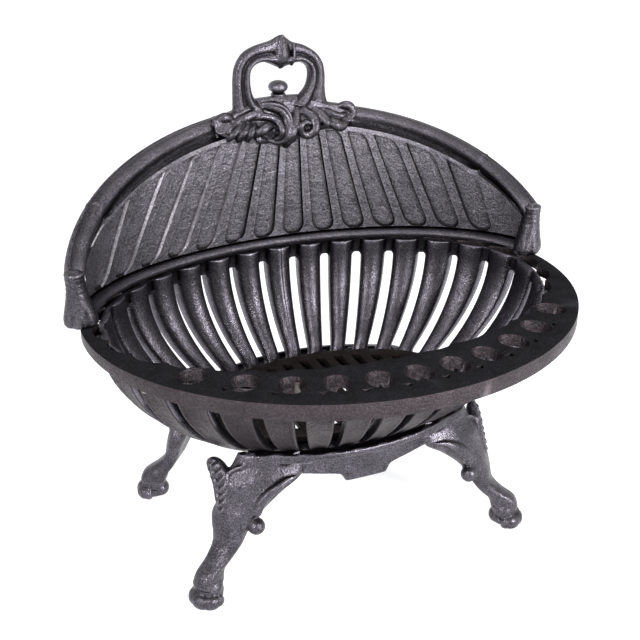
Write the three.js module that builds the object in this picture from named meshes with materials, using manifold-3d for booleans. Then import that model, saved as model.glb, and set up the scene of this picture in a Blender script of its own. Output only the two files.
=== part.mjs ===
// A cast-iron fire basket for a fireplace: an oval slotted basket with a pierced front ledge,
// a fluted hood that lifts off by its handle, a loose bottom grate, and two castings with lion feet.
// Millimetres, +Z up. The origin is on the floor, under the centre of the object's outline.
import * as THREE from 'three';
import { mergeVertices } from 'three/addons/utils/BufferGeometryUtils.js';
import Module from 'manifold-3d';

// Rim plate: the flat top of the basket, with its wide ledge in front
const rimHalfWidth = 250;
const rimFrontReach = 226;
const rimRearReach = 170;
const rimTopHeight = 265;
const rimThickness = 10.5;
const rimBorder = 18;
const scallopDepth = 3.5;
const holeArcSetback = 39;
const nibArcSetback = 22;
const nibArcInset = 10;
const nibWidth = 8;
const nibLength = 6;
const ledgeHoleCount = 11;

// Basket: an oval bowl of upright bars
const basketSideOverhang = 5;
const basketRearOverhang = 10;
const basketFootHalfWidth = 153;
const basketFootHalfDepth = 95;
const basketFootSetback = 7;
const basketFootRise = 4.6;
const barDepthTop = 10;
const barDepthFoot = 7;
const barCrown = 12;
const slotWidth = 10.5;
const slotTopDrop = 14;
const slotFootRise = 6;
const mouthLipWidth = 4.5;
const floorThickness = 7;
const floorUndersideHeight = 138;
const floorRingWidth = 35;
const floorRingDepth = 40;
const slotCount = 32;

// Bottom grate: a loose oval plate on the basket's floor
const grateSideGap = 4;
const grateThickness = 8;
const grateBarWidth = 11;
const grateSlotWidth = 9;
const grateRimWidth = 12;

// Hood: a fluted back that stands on the rear half of the rim
const hoodMouthInset = 3;
const hoodSideLean = 15;
const hoodRearLean = 24;
const hoodWallThickness = 9;
const hoodArchEndRise = 31;
const hoodArchRise = 129;
const archBeadRadius = 8.5;
const archSideSpread = 3;
const archRearInset = 7.5;
const archBandWidth = 17;
const footBeadRadius = 7;
const fluteRibWidth = 10.4;
const fluteSlope = 4.5;
const fluteDepth = 3.5;
const flutePerSide = 7;
const pawHalfWidth = 16;
const pawHalfLength = 19;
const pawHeight = 54;
const pawForward = 2;

// Handle and crest: one casting that sits over the crown of the hood
const handleHalfWidth = 42;
const handleFootHalfWidth = 47;
const handleRise = 47.7;
const handleBarRadius = 8.5;
const handleInset = 2.5;
const finialRise = 18;
const finialRadius = 9;
const budDepth = 15;
const crestHalfWidth = 72;
const crestDrop = 42;
const crestThickness = 7;
const crestSaddleThickness = 9;
const scrollRadius = 13;
const scrollThickness = 5;
const scrollSpread = 26;
const knobRadius = 9.5;
const knobHeight = 13;
const knobCollarRadius = 8;
const knobCollarHeight = 4;
const knobShankRadius = 3;
const knobShankDepth = 16;

// Stand: a front and a rear casting, each an apron with two cabriole legs
const standSetback = 14;
const apronOverhang = 7;
const apronTopRise = 5.6;
const apronThickness = 8;
const apronLipHeight = 6.5;
const apronLipWidth = 4;
const apronSetback = 13;
const apronEndSetback = 2;
const apronDrop = 54;
const tabHalfWidth = 28;
const tabDrop = 38.6;
const tabStep = 4;
const frontSeatWidth = 52;
const seatThickness = 8;
const legReach = 73;
const legHalfWidth = 30;
const legKneeDrop = 1;
const curlRadius = 9;
const curlThickness = 20;
const legCurveRadius = 77;
const leafLength = 46;
const leafWidth = 22;
const leafThickness = 9;

// Fasteners
const standBoltRadius = 4;
const standBoltHeadRadius = 7.5;
const standBoltHeadHeight = 4;
const nutAcrossCorners = 15;
const nutHeight = 6.5;
const rimBoltRadius = 3;
const rimBoltHeadRadius = 5.8;
const rimBoltHeadHeight = 4;
const rimBoltBite = 6;
const lugRadius = 10;
const lugThickness = 8;
const lugSetback = 9;

// Clearances and overruns
const seatGap = 0.3;
const crestFit = 0.5;
const boltClearance = 0.4;
const cutOverrun = 2;
const joinOverlap = 1;

// Shares and counts that shape the curves
const mouthLipRiseShare = 0.6;
const wallRows = [
  { share: 0, recessed: false },
  { share: 0.05, recessed: false },
  { share: 0.13, recessed: true },
  { share: 0.5, recessed: true },
  { share: 0.88, recessed: true },
  { share: 0.95, recessed: false },
];
const backRowShares = [0.85, 0.4, 0];
const beadLiftShare = 0.6;
const archBeadDegrees = [200, 150, 100, 50, 0, -40];
const footBeadBackDegrees = [10, -35];
const footBeadFrontDegrees = [215, 170];
const plainColumnShares = [0.35, 0.7];
const pawShares = [
  [0, 0],
  [0.9, 0],
  [1, 0.1],
  [0.97, 0.26],
  [0.8, 0.5],
  [0.68, 0.74],
  [0.6, 0.94],
  [0.42, 1],
  [0, 1],
];
const handlePathShares = [[0.98, 0.3], [1, 0.55], [0.72, 0.86]];
const handleSinkShare = 0.6;
const budShares = [[0, -0.4], [0.5, -0.3]];
const finialShares = [[0.75, 0], [1, 0.35], [0.9, 0.6], [0.55, 0.85], [0, 1]];
const knobNeckShares = [0.7, 1.3];
const knobBallShares = [[1, 0.45], [0.75, 0.85], [0, 1]];
const bowlBulgeShare = 1.87;
const bowlFlareShare = 1.16;
const crestDropShares = [0.35, 1];
const crestSaddleShare = 0.6;
const slotRowShares = [0, 0.09, 0.22, 0.42, 0.68, 1];
const fluteFanShare = 0.48;
const fluteFanFadeShare = 0.7;
const legAngleShare = 35 / 180;
const boltAngleShare = 54 / 180;
const apronEdgeShares = [[0.19, 0.49], [0.36, 0.44], [0.555, 0.53], [0.655, 0.66], [0.725, 0.92], [0.8, 1]];
const curlPlaceShares = [-1.07, 0.22, 0.577];
const leafPlaceShares = [0.72, 0.14, 0.83];
const lugAngleShares = [30 / 180, 66 / 180];
const rimSegments = 96;
const ellipseSteps = 4000;
const settlingRounds = 12;

const flutedShare = 0.8;
const hoodReachShare = 0.918;
const ledgeHoleReachShare = 0.78;
const ledgeHoleWidthShare = 0.58;
const ledgeHoleLengthShare = 1.24;

// Sizes that follow from the ones above
const mouthHalfWidth = rimHalfWidth - rimBorder;
const mouthHalfDepth = rimRearReach - rimBorder;
const basketTopHalfWidth = mouthHalfWidth + basketSideOverhang;
const basketTopHalfDepth = mouthHalfDepth + basketRearOverhang;
const basketFootHeight = floorUndersideHeight + basketFootRise;
const floorOpeningHalfWidth = basketFootHalfWidth - floorRingWidth;
const floorOpeningHalfDepth = basketFootHalfDepth - floorRingDepth;
const ledgeHoleReach = mouthHalfWidth * ledgeHoleReachShare;
const ledgeHolePitch = (2 * ledgeHoleReach) / (ledgeHoleCount - 1);
const ledgeHoleWidth = ledgeHolePitch * ledgeHoleWidthShare;
const ledgeHoleLength = ledgeHoleWidth * ledgeHoleLengthShare;
const floorTop = floorUndersideHeight + floorThickness;
const slotTopHeight = rimTopHeight - slotTopDrop;
const slotFootHeight = floorTop + slotFootRise;
const hoodHalfWidth = rimHalfWidth;
const hoodHalfDepth = mouthHalfDepth - hoodMouthInset;
const hoodCrownHalfWidth = hoodHalfWidth - hoodSideLean;
const hoodCrownHalfDepth = hoodHalfDepth - hoodRearLean;
const archHalfWidth = hoodHalfWidth + archSideSpread;
const archHalfDepth = hoodHalfDepth - archRearInset;
const archEndHeight = rimTopHeight + hoodArchEndRise;
const flutePitch = (ellipseLength(hoodHalfWidth, hoodHalfDepth) / 4) * (flutedShare / flutePerSide);
const fluteWidth = flutePitch - fluteRibWidth;
const saddleTopHeight = archEndHeight + hoodArchRise + seatGap + crestSaddleThickness;
const handleTopHeight = saddleTopHeight + handleRise;
const finialTopHeight = handleTopHeight + finialRise;
const handleSetback = archHalfDepth - handleInset;
const apronHalfWidth = basketFootHalfWidth;
const apronHalfDepth = basketFootHalfDepth + apronOverhang;
const apronTopHeight = floorUndersideHeight + apronTopRise;
const tabFootHeight = apronTopHeight - tabDrop;
const legKneeHeight = floorUndersideHeight - legKneeDrop;

const wasm = await Module();
wasm.setup();

// General helpers

const mix = (from, to, share) => from + (to - from) * share;
const onEllipse = (halfWidth, halfDepth, turn) => [halfWidth * Math.cos(turn), halfDepth * Math.sin(turn)];

function geometryOf(points, triangles) {
  const geometry = new THREE.BufferGeometry();
  geometry.setAttribute('position', new THREE.Float32BufferAttribute(points.flat(), 3));
  geometry.setIndex(triangles.flat());
  return signedVolume(geometry) < 0 ? flipped(geometry) : geometry;
}

function signedVolume(geometry) {
  const a = new THREE.Vector3();
  const b = new THREE.Vector3();
  const c = new THREE.Vector3();
  const { position } = geometry.attributes;
  let sum = 0;
  for (let i = 0; i < geometry.index.count; i += 3) {
    a.fromBufferAttribute(position, geometry.index.getX(i));
    b.fromBufferAttribute(position, geometry.index.getX(i + 1));
    c.fromBufferAttribute(position, geometry.index.getX(i + 2));
    sum += a.dot(b.cross(c)) / 6;
  }
  return sum;
}

function flipped(geometry) {
  const old = Array.from(geometry.index.array);
  for (let i = 0; i < old.length; i += 3) [old[i], old[i + 1]] = [old[i + 1], old[i]];
  geometry.setIndex(old);
  return geometry;
}

function mergedPositions(geometry) {
  const bare = geometry.clone();
  bare.deleteAttribute('normal');
  bare.deleteAttribute('uv');
  return mergeVertices(bare);
}

function solidOf(geometry) {
  const merged = mergedPositions(geometry);
  const vertProperties = new Float32Array(merged.attributes.position.array);
  const triVerts = new Uint32Array(merged.index.array);
  return new wasm.Manifold(new wasm.Mesh({ numProp: 3, vertProperties, triVerts }));
}

function geometryFrom(solid) {
  const { vertProperties, triVerts, numProp } = solid.getMesh();
  const geometry = new THREE.BufferGeometry();
  const positions = new Float32Array((vertProperties.length / numProp) * 3);
  for (let i = 0; i < positions.length / 3; i += 1) {
    positions.set(vertProperties.subarray(i * numProp, i * numProp + 3), i * 3);
  }
  geometry.setAttribute('position', new THREE.BufferAttribute(positions, 3));
  geometry.setIndex(Array.from(triVerts));
  return geometry;
}

const joined = (...geometries) => geometryFrom(geometries.map(solidOf).reduce((all, next) => all.add(next)));

function cutFrom(geometry, ...tools) {
  return geometryFrom(tools.map(solidOf).reduce((left, tool) => left.subtract(tool), solidOf(geometry)));
}

// A closed solid through a row of outlines that have the same number of points
function loft(sections) {
  const count = sections[0].length;
  const points = sections.flat();
  const triangles = [];
  for (let i = 0; i < sections.length - 1; i += 1) {
    const next = i + 1;
    for (let j = 0; j < count; j += 1) {
      const k = (j + 1) % count;
      triangles.push([i * count + j, next * count + j, next * count + k]);
      triangles.push([i * count + j, next * count + k, i * count + k]);
    }
  }
  triangles.push(...capOf(sections[0]));
  const start = (sections.length - 1) * count;
  const end = capOf(sections[sections.length - 1]);
  end.forEach(([a, b, c]) => triangles.push([start + b, start + a, start + c]));
  return geometryOf(points, triangles);
}

// The triangles of one flat or nearly flat outline, wound with it
function capOf(outline) {
  const corners = outline.map((p) => new THREE.Vector3(...p));
  const normal = new THREE.Vector3();
  corners.forEach((p, i) => normal.add(p.clone().cross(corners[(i + 1) % corners.length])));
  normal.normalize();
  const across = corners[1].clone().sub(corners[0]).projectOnPlane(normal).normalize();
  const up = normal.clone().cross(across);
  const flat = corners.map((p) => new THREE.Vector2(p.dot(across), p.dot(up)));
  const faces = THREE.ShapeUtils.triangulateShape(flat, []);
  return faces.map(([a, b, c]) => {
    const toB = flat[b].clone().sub(flat[a]);
    const toC = flat[c].clone().sub(flat[a]);
    return toB.cross(toC) > 0 ? [a, b, c] : [a, c, b];
  });
}

function upright(radius, fromHeight, toHeight, sides = 12) {
  const geometry = new THREE.CylinderGeometry(radius, radius, toHeight - fromHeight, sides);
  geometry.rotateX(Math.PI / 2);
  return geometry.translate(0, 0, (fromHeight + toHeight) / 2);
}

function turned(profile, sides = 16) {
  const geometry = new THREE.LatheGeometry(profile.map(([r, z]) => new THREE.Vector2(r, z)), sides);
  geometry.rotateX(Math.PI / 2);
  return cleaned(geometry);
}

// A lathed shape has a seam and collapsed faces on its axis, so its points are merged first
function cleaned(geometry) {
  const merged = mergedPositions(geometry);
  const kept = [];
  const index = merged.index.array;
  for (let i = 0; i < index.length; i += 3) {
    const [a, b, c] = [index[i], index[i + 1], index[i + 2]];
    if (a !== b && b !== c && a !== c) kept.push([a, b, c]);
  }
  const points = [];
  const { position } = merged.attributes;
  for (let i = 0; i < position.count; i += 1) {
    points.push([position.getX(i), position.getY(i), position.getZ(i)]);
  }
  return geometryOf(points, kept);
}

function ball(radiusX, radiusY, radiusZ, sides = 14, rings = 9) {
  const geometry = new THREE.SphereGeometry(1, sides, rings);
  geometry.scale(radiusX, radiusY, radiusZ);
  return cleaned(geometry);
}

function plate(shape, thickness, bottom, curveSegments) {
  const settings = { depth: thickness, bevelEnabled: false, curveSegments };
  return new THREE.ExtrudeGeometry(shape, settings).translate(0, 0, bottom);
}

// Angles on an ellipse at even steps of its length, measured from its rear centre
function evenAngles(halfWidth, halfDepth, steps) {
  const turn = (Math.PI * 2) / ellipseSteps;
  const lengths = [0];
  for (let i = 1; i <= ellipseSteps; i += 1) {
    const middle = turn * (i - 0.5);
    const step = Math.hypot(halfWidth * Math.cos(middle), halfDepth * Math.sin(middle)) * turn;
    lengths.push(lengths[i - 1] + step);
  }
  const total = lengths[ellipseSteps];
  const angleAt = (length) => {
    const wanted = ((length % total) + total) % total;
    let i = 1;
    while (lengths[i] < wanted) i += 1;
    const share = (wanted - lengths[i - 1]) / (lengths[i] - lengths[i - 1]);
    return turn * (i - 1 + share);
  };
  return steps.map(angleAt);
}

function ellipseLength(halfWidth, halfDepth) {
  const h = ((halfWidth - halfDepth) / (halfWidth + halfDepth)) ** 2;
  return Math.PI * (halfWidth + halfDepth) * (1 + (3 * h) / (10 + Math.sqrt(4 - 3 * h)));
}

// Rim plate

const rimUnderside = rimTopHeight - rimThickness;

function rimEdge(angle) {
  const halfDepth = Math.sin(angle) < 0 ? rimFrontReach : rimRearReach;
  return onEllipse(rimHalfWidth, halfDepth, angle);
}

// Angles of the slots' centres on the basket, from the positive X axis
const slotPitchLength = ellipseLength(mouthHalfWidth, mouthHalfDepth) / slotCount;
const slotAngles = evenAngles(
  mouthHalfWidth,
  mouthHalfDepth,
  Array.from({ length: slotCount }, (_, i) => (i + 0.5) * slotPitchLength),
).map((angle) => Math.PI / 2 - angle);

function scallopedMouth(pointsPerScallop = 3) {
  const points = [];
  for (let i = 0; i < slotCount; i += 1) {
    const from = slotAngles[i];
    let to = slotAngles[(i + 1) % slotCount];
    if (to > from) to -= Math.PI * 2;
    for (let j = 0; j < pointsPerScallop; j += 1) {
      const share = j / pointsPerScallop;
      const bulge = scallopDepth * Math.sin(Math.PI * share);
      const [x, y] = onEllipse(mouthHalfWidth, mouthHalfDepth, mix(from, to, share));
      const length = Math.hypot(x, y);
      points.push(new THREE.Vector2(x * (1 + bulge / length), y * (1 + bulge / length)));
    }
  }
  return points;
}

// The ledge's piercings lie on arcs that run along the front edge, each square to its arc
function ledgePlace(x, arcHalfWidth, arcHalfDepth) {
  const y = -arcHalfDepth * Math.sqrt(1 - (x / arcHalfWidth) ** 2);
  const outward = Math.atan2(y / arcHalfDepth ** 2, x / arcHalfWidth ** 2);
  return { x, y, turn: outward + Math.PI / 2 };
}

function ledgeHole({ x, y, turn }) {
  const hole = new THREE.Path();
  hole.absellipse(x, y, ledgeHoleWidth / 2, ledgeHoleLength / 2, 0, Math.PI * 2, true, turn);
  return hole;
}

function nibHole({ x, y, turn }) {
  const corners = [[-nibWidth / 2, nibLength / 2], [nibWidth / 2, nibLength / 2], [0, -nibLength / 2]];
  const points = corners.map(([u, v]) => new THREE.Vector2(
    x + u * Math.cos(turn) - v * Math.sin(turn),
    y + u * Math.sin(turn) + v * Math.cos(turn),
  ));
  return new THREE.Path(points);
}

function makeRimPlate() {
  const turns = Array.from({ length: rimSegments }, (_, i) => (Math.PI * 2 * i) / rimSegments);
  const shape = new THREE.Shape(turns.map((angle) => new THREE.Vector2(...rimEdge(angle))));
  shape.holes.push(new THREE.Path(scallopedMouth()));
  for (let i = 0; i < ledgeHoleCount; i += 1) {
    const x = -ledgeHoleReach + i * ledgeHolePitch;
    shape.holes.push(ledgeHole(ledgePlace(x, mouthHalfWidth, rimFrontReach - holeArcSetback)));
  }
  for (let i = 0; i < ledgeHoleCount - 1; i += 1) {
    const x = -ledgeHoleReach + (i + 0.5) * ledgeHolePitch;
    shape.holes.push(nibHole(ledgePlace(x, rimHalfWidth - nibArcInset, rimFrontReach - nibArcSetback)));
  }
  const holes = lugPlaces().map(([x, y]) => upright(
    rimBoltRadius + boltClearance,
    rimUnderside - cutOverrun,
    rimUnderside + rimBoltBite + seatGap,
  ).translate(x, y, 0));
  return cutFrom(plate(shape, rimThickness, rimUnderside, 7), ...holes);
}

// Basket

const basketTopHeight = rimUnderside - seatGap;

function bowlShare(height) {
  const share = (height - basketFootHeight) / (basketTopHeight - basketFootHeight);
  return (1 - (1 - Math.min(Math.max(share, 0), 1)) ** bowlBulgeShare) ** (1 / bowlFlareShare);
}

// A point of the bowl's outer face, drawn in by a depth
function bowlPoint(angle, height, depth) {
  const share = bowlShare(height);
  const halfWidth = mix(basketFootHalfWidth, basketTopHalfWidth, share) - depth;
  const halfDepth = mix(basketFootHalfDepth, basketTopHalfDepth, share) - depth;
  const [x, y] = onEllipse(halfWidth, halfDepth, angle);
  return [x, y + mix(basketFootSetback, 0, share), height];
}

const barDepthAt = (height) => mix(barDepthFoot, barDepthTop, bowlShare(height) ** 2);

function slotHalfAngle(angle, height) {
  const share = bowlShare(height);
  const halfWidth = mix(basketFootHalfWidth, basketTopHalfWidth, share);
  const halfDepth = mix(basketFootHalfDepth, basketTopHalfDepth, share);
  return slotWidth / 2 / Math.hypot(halfWidth * Math.sin(angle), halfDepth * Math.cos(angle));
}

// Rows of the bar section, from the underside of the floor up to the mouth
function bowlRows() {
  const rows = [
    {
      outer: (t) => floorPoint(t, 0, floorUndersideHeight),
      inner: (t) => floorPoint(t, 1, floorUndersideHeight),
    },
    { outer: (t) => bowlPoint(t, basketFootHeight, 0), inner: (t) => floorPoint(t, 1, floorTop) },
    { outer: (t) => bowlPoint(t, floorTop, 0), inner: (t) => floorPoint(t, 0, floorTop) },
  ];
  slotRowShares.forEach((share) => {
    const height = mix(slotFootHeight, slotTopHeight, share);
    rows.push({
      outer: (t) => bowlPoint(t, height, 0),
      inner: (t, crown) => bowlPoint(t, height, barDepthAt(height) + crown),
      height,
    });
  });
  const innerEdge = mouthHalfWidth - seatGap;
  const edgeDepth = mouthHalfDepth - seatGap;
  const lipPoint = (t, depth, height) => [...onEllipse(innerEdge - depth, edgeDepth - depth, t), height];
  rows.push({
    outer: (t) => bowlPoint(t, basketTopHeight, 0),
    inner: (t, crown) => bowlPoint(t, basketTopHeight, barDepthTop + crown),
  });
  const lipHeight = mix(basketTopHeight, rimTopHeight, mouthLipRiseShare);
  rows.push({
    outer: (t) => lipPoint(t, 0, basketTopHeight),
    inner: (t, crown) => lipPoint(t, mouthLipWidth + barCrown / 2 + crown / 2, lipHeight),
  });
  rows.push({
    outer: (t) => lipPoint(t, 0, rimTopHeight - seatGap),
    inner: (t, crown) => lipPoint(t, mouthLipWidth + crown / 2, rimTopHeight - seatGap),
  });
  return rows;
}

// Across the floor ring: 0 is its outer edge under the bars, 1 is the edge of its opening
function floorPoint(angle, share, height) {
  const halfWidth = mix(basketFootHalfWidth - basketFootRise, floorOpeningHalfWidth, share);
  const halfDepth = mix(basketFootHalfDepth - basketFootRise, floorOpeningHalfDepth, share);
  const [x, y] = onEllipse(halfWidth, halfDepth, angle);
  return [x, y + basketFootSetback, height];
}

// Columns: each slot's two edges, then the middle of the bar that follows it
function bowlColumns() {
  const columns = [];
  for (let i = 0; i < slotCount; i += 1) {
    const here = slotAngles[i];
    let next = slotAngles[(i + 1) % slotCount];
    if (next > here) next -= Math.PI * 2;
    columns.push({ angle: (h) => here + slotHalfAngle(here, h), crown: 0, slot: true });
    columns.push({ angle: (h) => here - slotHalfAngle(here, h), crown: 0, slot: false });
    columns.push({ angle: () => (here + next) / 2, crown: barCrown, slot: false });
  }
  return columns;
}

function makeBasket() {
  const rows = bowlRows();
  const columns = bowlColumns();
  const firstOpen = 3;
  const lastOpen = firstOpen + slotRowShares.length - 1;
  const points = [];
  columns.forEach((column) => {
    rows.forEach((row, k) => {
      const height = row.height ?? (k < firstOpen ? slotFootHeight : slotTopHeight);
      points.push(row.outer(column.angle(height)));
      points.push(row.inner(column.angle(height), column.crown));
    });
  });
  const at = (i, k, side) => ((i % columns.length) * rows.length + k) * 2 + side;
  const triangles = [];
  const quad = (a, b, c, d) => triangles.push([a, b, c], [a, c, d]);
  columns.forEach((column, i) => {
    for (let k = 0; k < rows.length - 1; k += 1) {
      const open = column.slot && k >= firstOpen && k < lastOpen;
      if (open) {
        quad(at(i, k, 0), at(i, k + 1, 0), at(i, k + 1, 1), at(i, k, 1));
        quad(at(i + 1, k, 0), at(i + 1, k, 1), at(i + 1, k + 1, 1), at(i + 1, k + 1, 0));
      } else {
        quad(at(i, k, 0), at(i, k + 1, 0), at(i + 1, k + 1, 0), at(i + 1, k, 0));
        quad(at(i, k, 1), at(i + 1, k, 1), at(i + 1, k + 1, 1), at(i, k + 1, 1));
      }
    }
    const top = rows.length - 1;
    quad(at(i, 0, 0), at(i + 1, 0, 0), at(i + 1, 0, 1), at(i, 0, 1));
    quad(at(i, top, 0), at(i, top, 1), at(i + 1, top, 1), at(i + 1, top, 0));
    if (column.slot) {
      quad(at(i, firstOpen, 0), at(i, firstOpen, 1), at(i + 1, firstOpen, 1), at(i + 1, firstOpen, 0));
      quad(at(i, lastOpen, 0), at(i + 1, lastOpen, 0), at(i + 1, lastOpen, 1), at(i, lastOpen, 1));
    }
  });
  const shell = geometryOf(points, triangles);
  const lugs = lugPlaces().map(([x, y]) => makeLug(x, y));
  const boltHoles = standBoltPlaces().map(([x, y]) => makeCountersink().translate(x, y, 0));
  return cutFrom(joined(shell, ...lugs), ...boltHoles);
}

// The hole in the floor that a stand bolt's head lies flush in
function makeCountersink() {
  return turned([
    [0, floorUndersideHeight - cutOverrun],
    [standBoltRadius + boltClearance, floorUndersideHeight - cutOverrun],
    [standBoltRadius + boltClearance, floorTop - standBoltHeadHeight],
    [standBoltHeadRadius + boltClearance, floorTop],
    [standBoltHeadRadius + boltClearance, floorTop + cutOverrun],
    [0, floorTop + cutOverrun],
  ], 12);
}

// Lugs under the ledge take the bolts of the rim plate
function lugPlaces() {
  const places = [];
  lugAngleShares.forEach((share) => {
    [share, 1 - share].forEach((side) => {
      const angle = -Math.PI * side;
      const [x, y] = onEllipse(basketTopHalfWidth + lugSetback, basketTopHalfDepth + lugSetback, angle);
      places.push([x, y]);
    });
  });
  return places;
}

function makeLug(x, y) {
  const block = upright(lugRadius, basketTopHeight - lugThickness, basketTopHeight);
  block.translate(x, y, 0);
  const reach = lugSetback + barDepthTop / 2;
  const web = new THREE.BoxGeometry(reach, lugRadius * 2, lugThickness);
  const angle = Math.atan2(y / basketTopHalfDepth, x / basketTopHalfWidth);
  web.translate(-reach / 2, 0, 0);
  web.rotateZ(Math.atan2(Math.sin(angle) / basketTopHalfDepth, Math.cos(angle) / basketTopHalfWidth));
  web.translate(x, y, basketTopHeight - lugThickness / 2);
  const underside = basketTopHeight - lugThickness;
  const hole = upright(rimBoltRadius + boltClearance, underside - cutOverrun, basketTopHeight + cutOverrun);
  return cutFrom(joined(block, web), hole.translate(x, y, 0));
}

// Bottom grate

function makeGrate() {
  const inset = basketFootRise + grateSideGap;
  const halfWidth = basketFootHalfWidth - inset;
  const halfDepth = basketFootHalfDepth - inset;
  const shape = new THREE.Shape();
  shape.absellipse(0, 0, halfWidth, halfDepth, 0, Math.PI * 2, false, 0);
  const pitch = grateBarWidth + grateSlotWidth;
  const count = 2 * Math.floor((halfWidth - grateRimWidth - grateSlotWidth) / pitch) + 1;
  for (let i = 0; i < count; i += 1) {
    const x = (i - (count - 1) / 2) * pitch;
    const edge = Math.max(Math.abs(x) + grateSlotWidth / 2, grateSlotWidth);
    const across = edge / (halfWidth - grateRimWidth);
    const half = (halfDepth - grateRimWidth) * Math.sqrt(Math.max(1 - across ** 2, 0));
    if (half > grateSlotWidth) {
      const slot = new THREE.Path();
      slot.absarc(x, half - grateSlotWidth / 2, grateSlotWidth / 2, 0, Math.PI, false);
      slot.absarc(x, grateSlotWidth / 2 - half, grateSlotWidth / 2, Math.PI, Math.PI * 2, false);
      slot.closePath();
      shape.holes.push(slot);
    }
  }
  return plate(shape, grateThickness, floorTop + seatGap, 4).translate(0, basketFootSetback, 0);
}

// Hood

const hoodFootHeight = rimTopHeight + seatGap;
const hoodWallFoot = hoodFootHeight + footBeadRadius + footBeadRadius / 2;
const archTopAt = (angle) => archEndHeight + hoodArchRise * Math.cos(angle);
const hoodReach = (ellipseLength(hoodHalfWidth, hoodHalfDepth) / 4) * hoodReachShare;
const [hoodEndAngle] = evenAngles(hoodHalfWidth, hoodHalfDepth, [hoodReach]);

// Flutes lean in towards the crown: the angle from the centre plane shrinks with height
function fannedAngle(angle, height) {
  const fade = Math.max(1 - (angle / hoodEndAngle) ** 2, 0) ** fluteFanFadeShare;
  const rise = (height - hoodWallFoot) / (archTopAt(0) - hoodWallFoot);
  return angle * (1 - fluteFanShare * fade * rise);
}

// Height where a flute's line meets the band under the arch
function wallTopAt(angle) {
  let height = archTopAt(angle) - archBandWidth;
  const lowest = hoodWallFoot + footBeadRadius / 2;
  for (let i = 0; i < settlingRounds; i += 1) {
    height = Math.max(archTopAt(fannedAngle(angle, height)) - archBandWidth, lowest);
  }
  return height;
}

// A point of the hood's inner face, set back into the wall by a depth
function facePoint(turn, height, depth) {
  const rise = (height - hoodWallFoot) / (archTopAt(0) - archBandWidth - hoodWallFoot);
  const halfWidth = mix(hoodHalfWidth, hoodCrownHalfWidth, rise) + depth;
  const halfDepth = mix(hoodHalfDepth, hoodCrownHalfDepth, rise) + depth;
  return [halfWidth * Math.sin(turn), halfDepth * Math.cos(turn), height];
}

const hoodPoint = (angle, height, depth) => facePoint(fannedAngle(angle, height), height, depth);

// A point beside the arch's bead, outwards and upwards of its centre line
function archPoint(turn, outward, height) {
  return [(archHalfWidth + outward) * Math.sin(turn), (archHalfDepth + outward) * Math.cos(turn), height];
}

function hoodSection({ angle, recessed }) {
  const top = wallTopAt(angle);
  const points = wallRows.map((row) => {
    const height = mix(hoodWallFoot, top, row.share);
    return hoodPoint(angle, height, row.recessed && recessed ? fluteDepth : 0);
  });
  const turn = fannedAngle(angle, top);
  const beadHeight = Math.max(archTopAt(turn) - archBeadRadius, top + archBeadRadius * beadLiftShare);
  archBeadDegrees.forEach((degrees) => {
    const [outward, rise] = roundPoint(archBeadRadius, degrees);
    points.push(archPoint(turn, outward, beadHeight + rise));
  });
  backRowShares.forEach((share) => {
    points.push(hoodPoint(angle, mix(hoodWallFoot, top, share), hoodWallThickness));
  });
  const foot = ([outward, rise]) => [
    (hoodHalfWidth + hoodWallThickness / 2 + outward) * Math.sin(angle),
    (hoodHalfDepth + hoodWallThickness / 2 + outward) * Math.cos(angle),
    hoodFootHeight + footBeadRadius + rise,
  ];
  const flat = footBeadRadius / 2;
  footBeadBackDegrees.forEach((degrees) => points.push(foot(roundPoint(footBeadRadius, degrees))));
  points.push(foot([flat, -footBeadRadius]), foot([-flat, -footBeadRadius]));
  footBeadFrontDegrees.forEach((degrees) => points.push(foot(roundPoint(footBeadRadius, degrees))));
  return points;
}

function roundPoint(radius, degrees) {
  const radians = THREE.MathUtils.degToRad(degrees);
  return [radius * Math.cos(radians), radius * Math.sin(radians)];
}

function hoodColumns() {
  const half = [];
  const lengths = [];
  for (let i = 0; i < flutePerSide; i += 1) {
    const centre = (i + 0.5) * flutePitch;
    lengths.push({ at: centre - fluteWidth / 2, recessed: false });
    lengths.push({ at: centre - fluteWidth / 2 + fluteSlope, recessed: true });
    lengths.push({ at: centre + fluteWidth / 2 - fluteSlope, recessed: true });
    lengths.push({ at: centre + fluteWidth / 2, recessed: false });
  }
  const flutedLength = flutePerSide * flutePitch;
  plainColumnShares.forEach((share) => {
    lengths.push({ at: mix(flutedLength, hoodReach, share), recessed: false });
  });
  const angles = evenAngles(hoodHalfWidth, hoodHalfDepth, lengths.map(({ at }) => at));
  lengths.forEach(({ recessed }, i) => half.push({ angle: angles[i], recessed }));
  half.push({ angle: hoodEndAngle, recessed: false });
  const otherHalf = half.map(({ angle, recessed }) => ({ angle: -angle, recessed })).reverse();
  return [...otherHalf, ...half];
}

function makePaw(side) {
  const profile = pawShares.map(([reach, rise]) => [reach * pawHalfLength, rise * pawHeight]);
  const paw = turned(profile, 16);
  paw.scale(pawHalfWidth / pawHalfLength, 1, 1);
  const [x, y] = onEllipse(hoodHalfWidth, hoodHalfDepth, Math.PI / 2 - hoodEndAngle);
  const turn = Math.atan2(hoodHalfWidth * Math.cos(hoodEndAngle), hoodHalfDepth * Math.sin(hoodEndAngle));
  paw.rotateZ(side * turn);
  return paw.translate(side * x, y - pawForward, hoodFootHeight);
}

function makeHood() {
  const wall = loft(hoodColumns().map(hoodSection));
  const radius = knobShankRadius + boltClearance;
  const hole = upright(radius, knobShankFoot - seatGap, archTopAt(0) + cutOverrun, 10);
  return cutFrom(joined(wall, makePaw(-1), makePaw(1)), hole.translate(0, knobSetback, 0));
}

// Handle and crest

const knobSetback = archHalfDepth;
const knobShankFoot = archTopAt(0) - knobShankDepth + joinOverlap;

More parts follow.
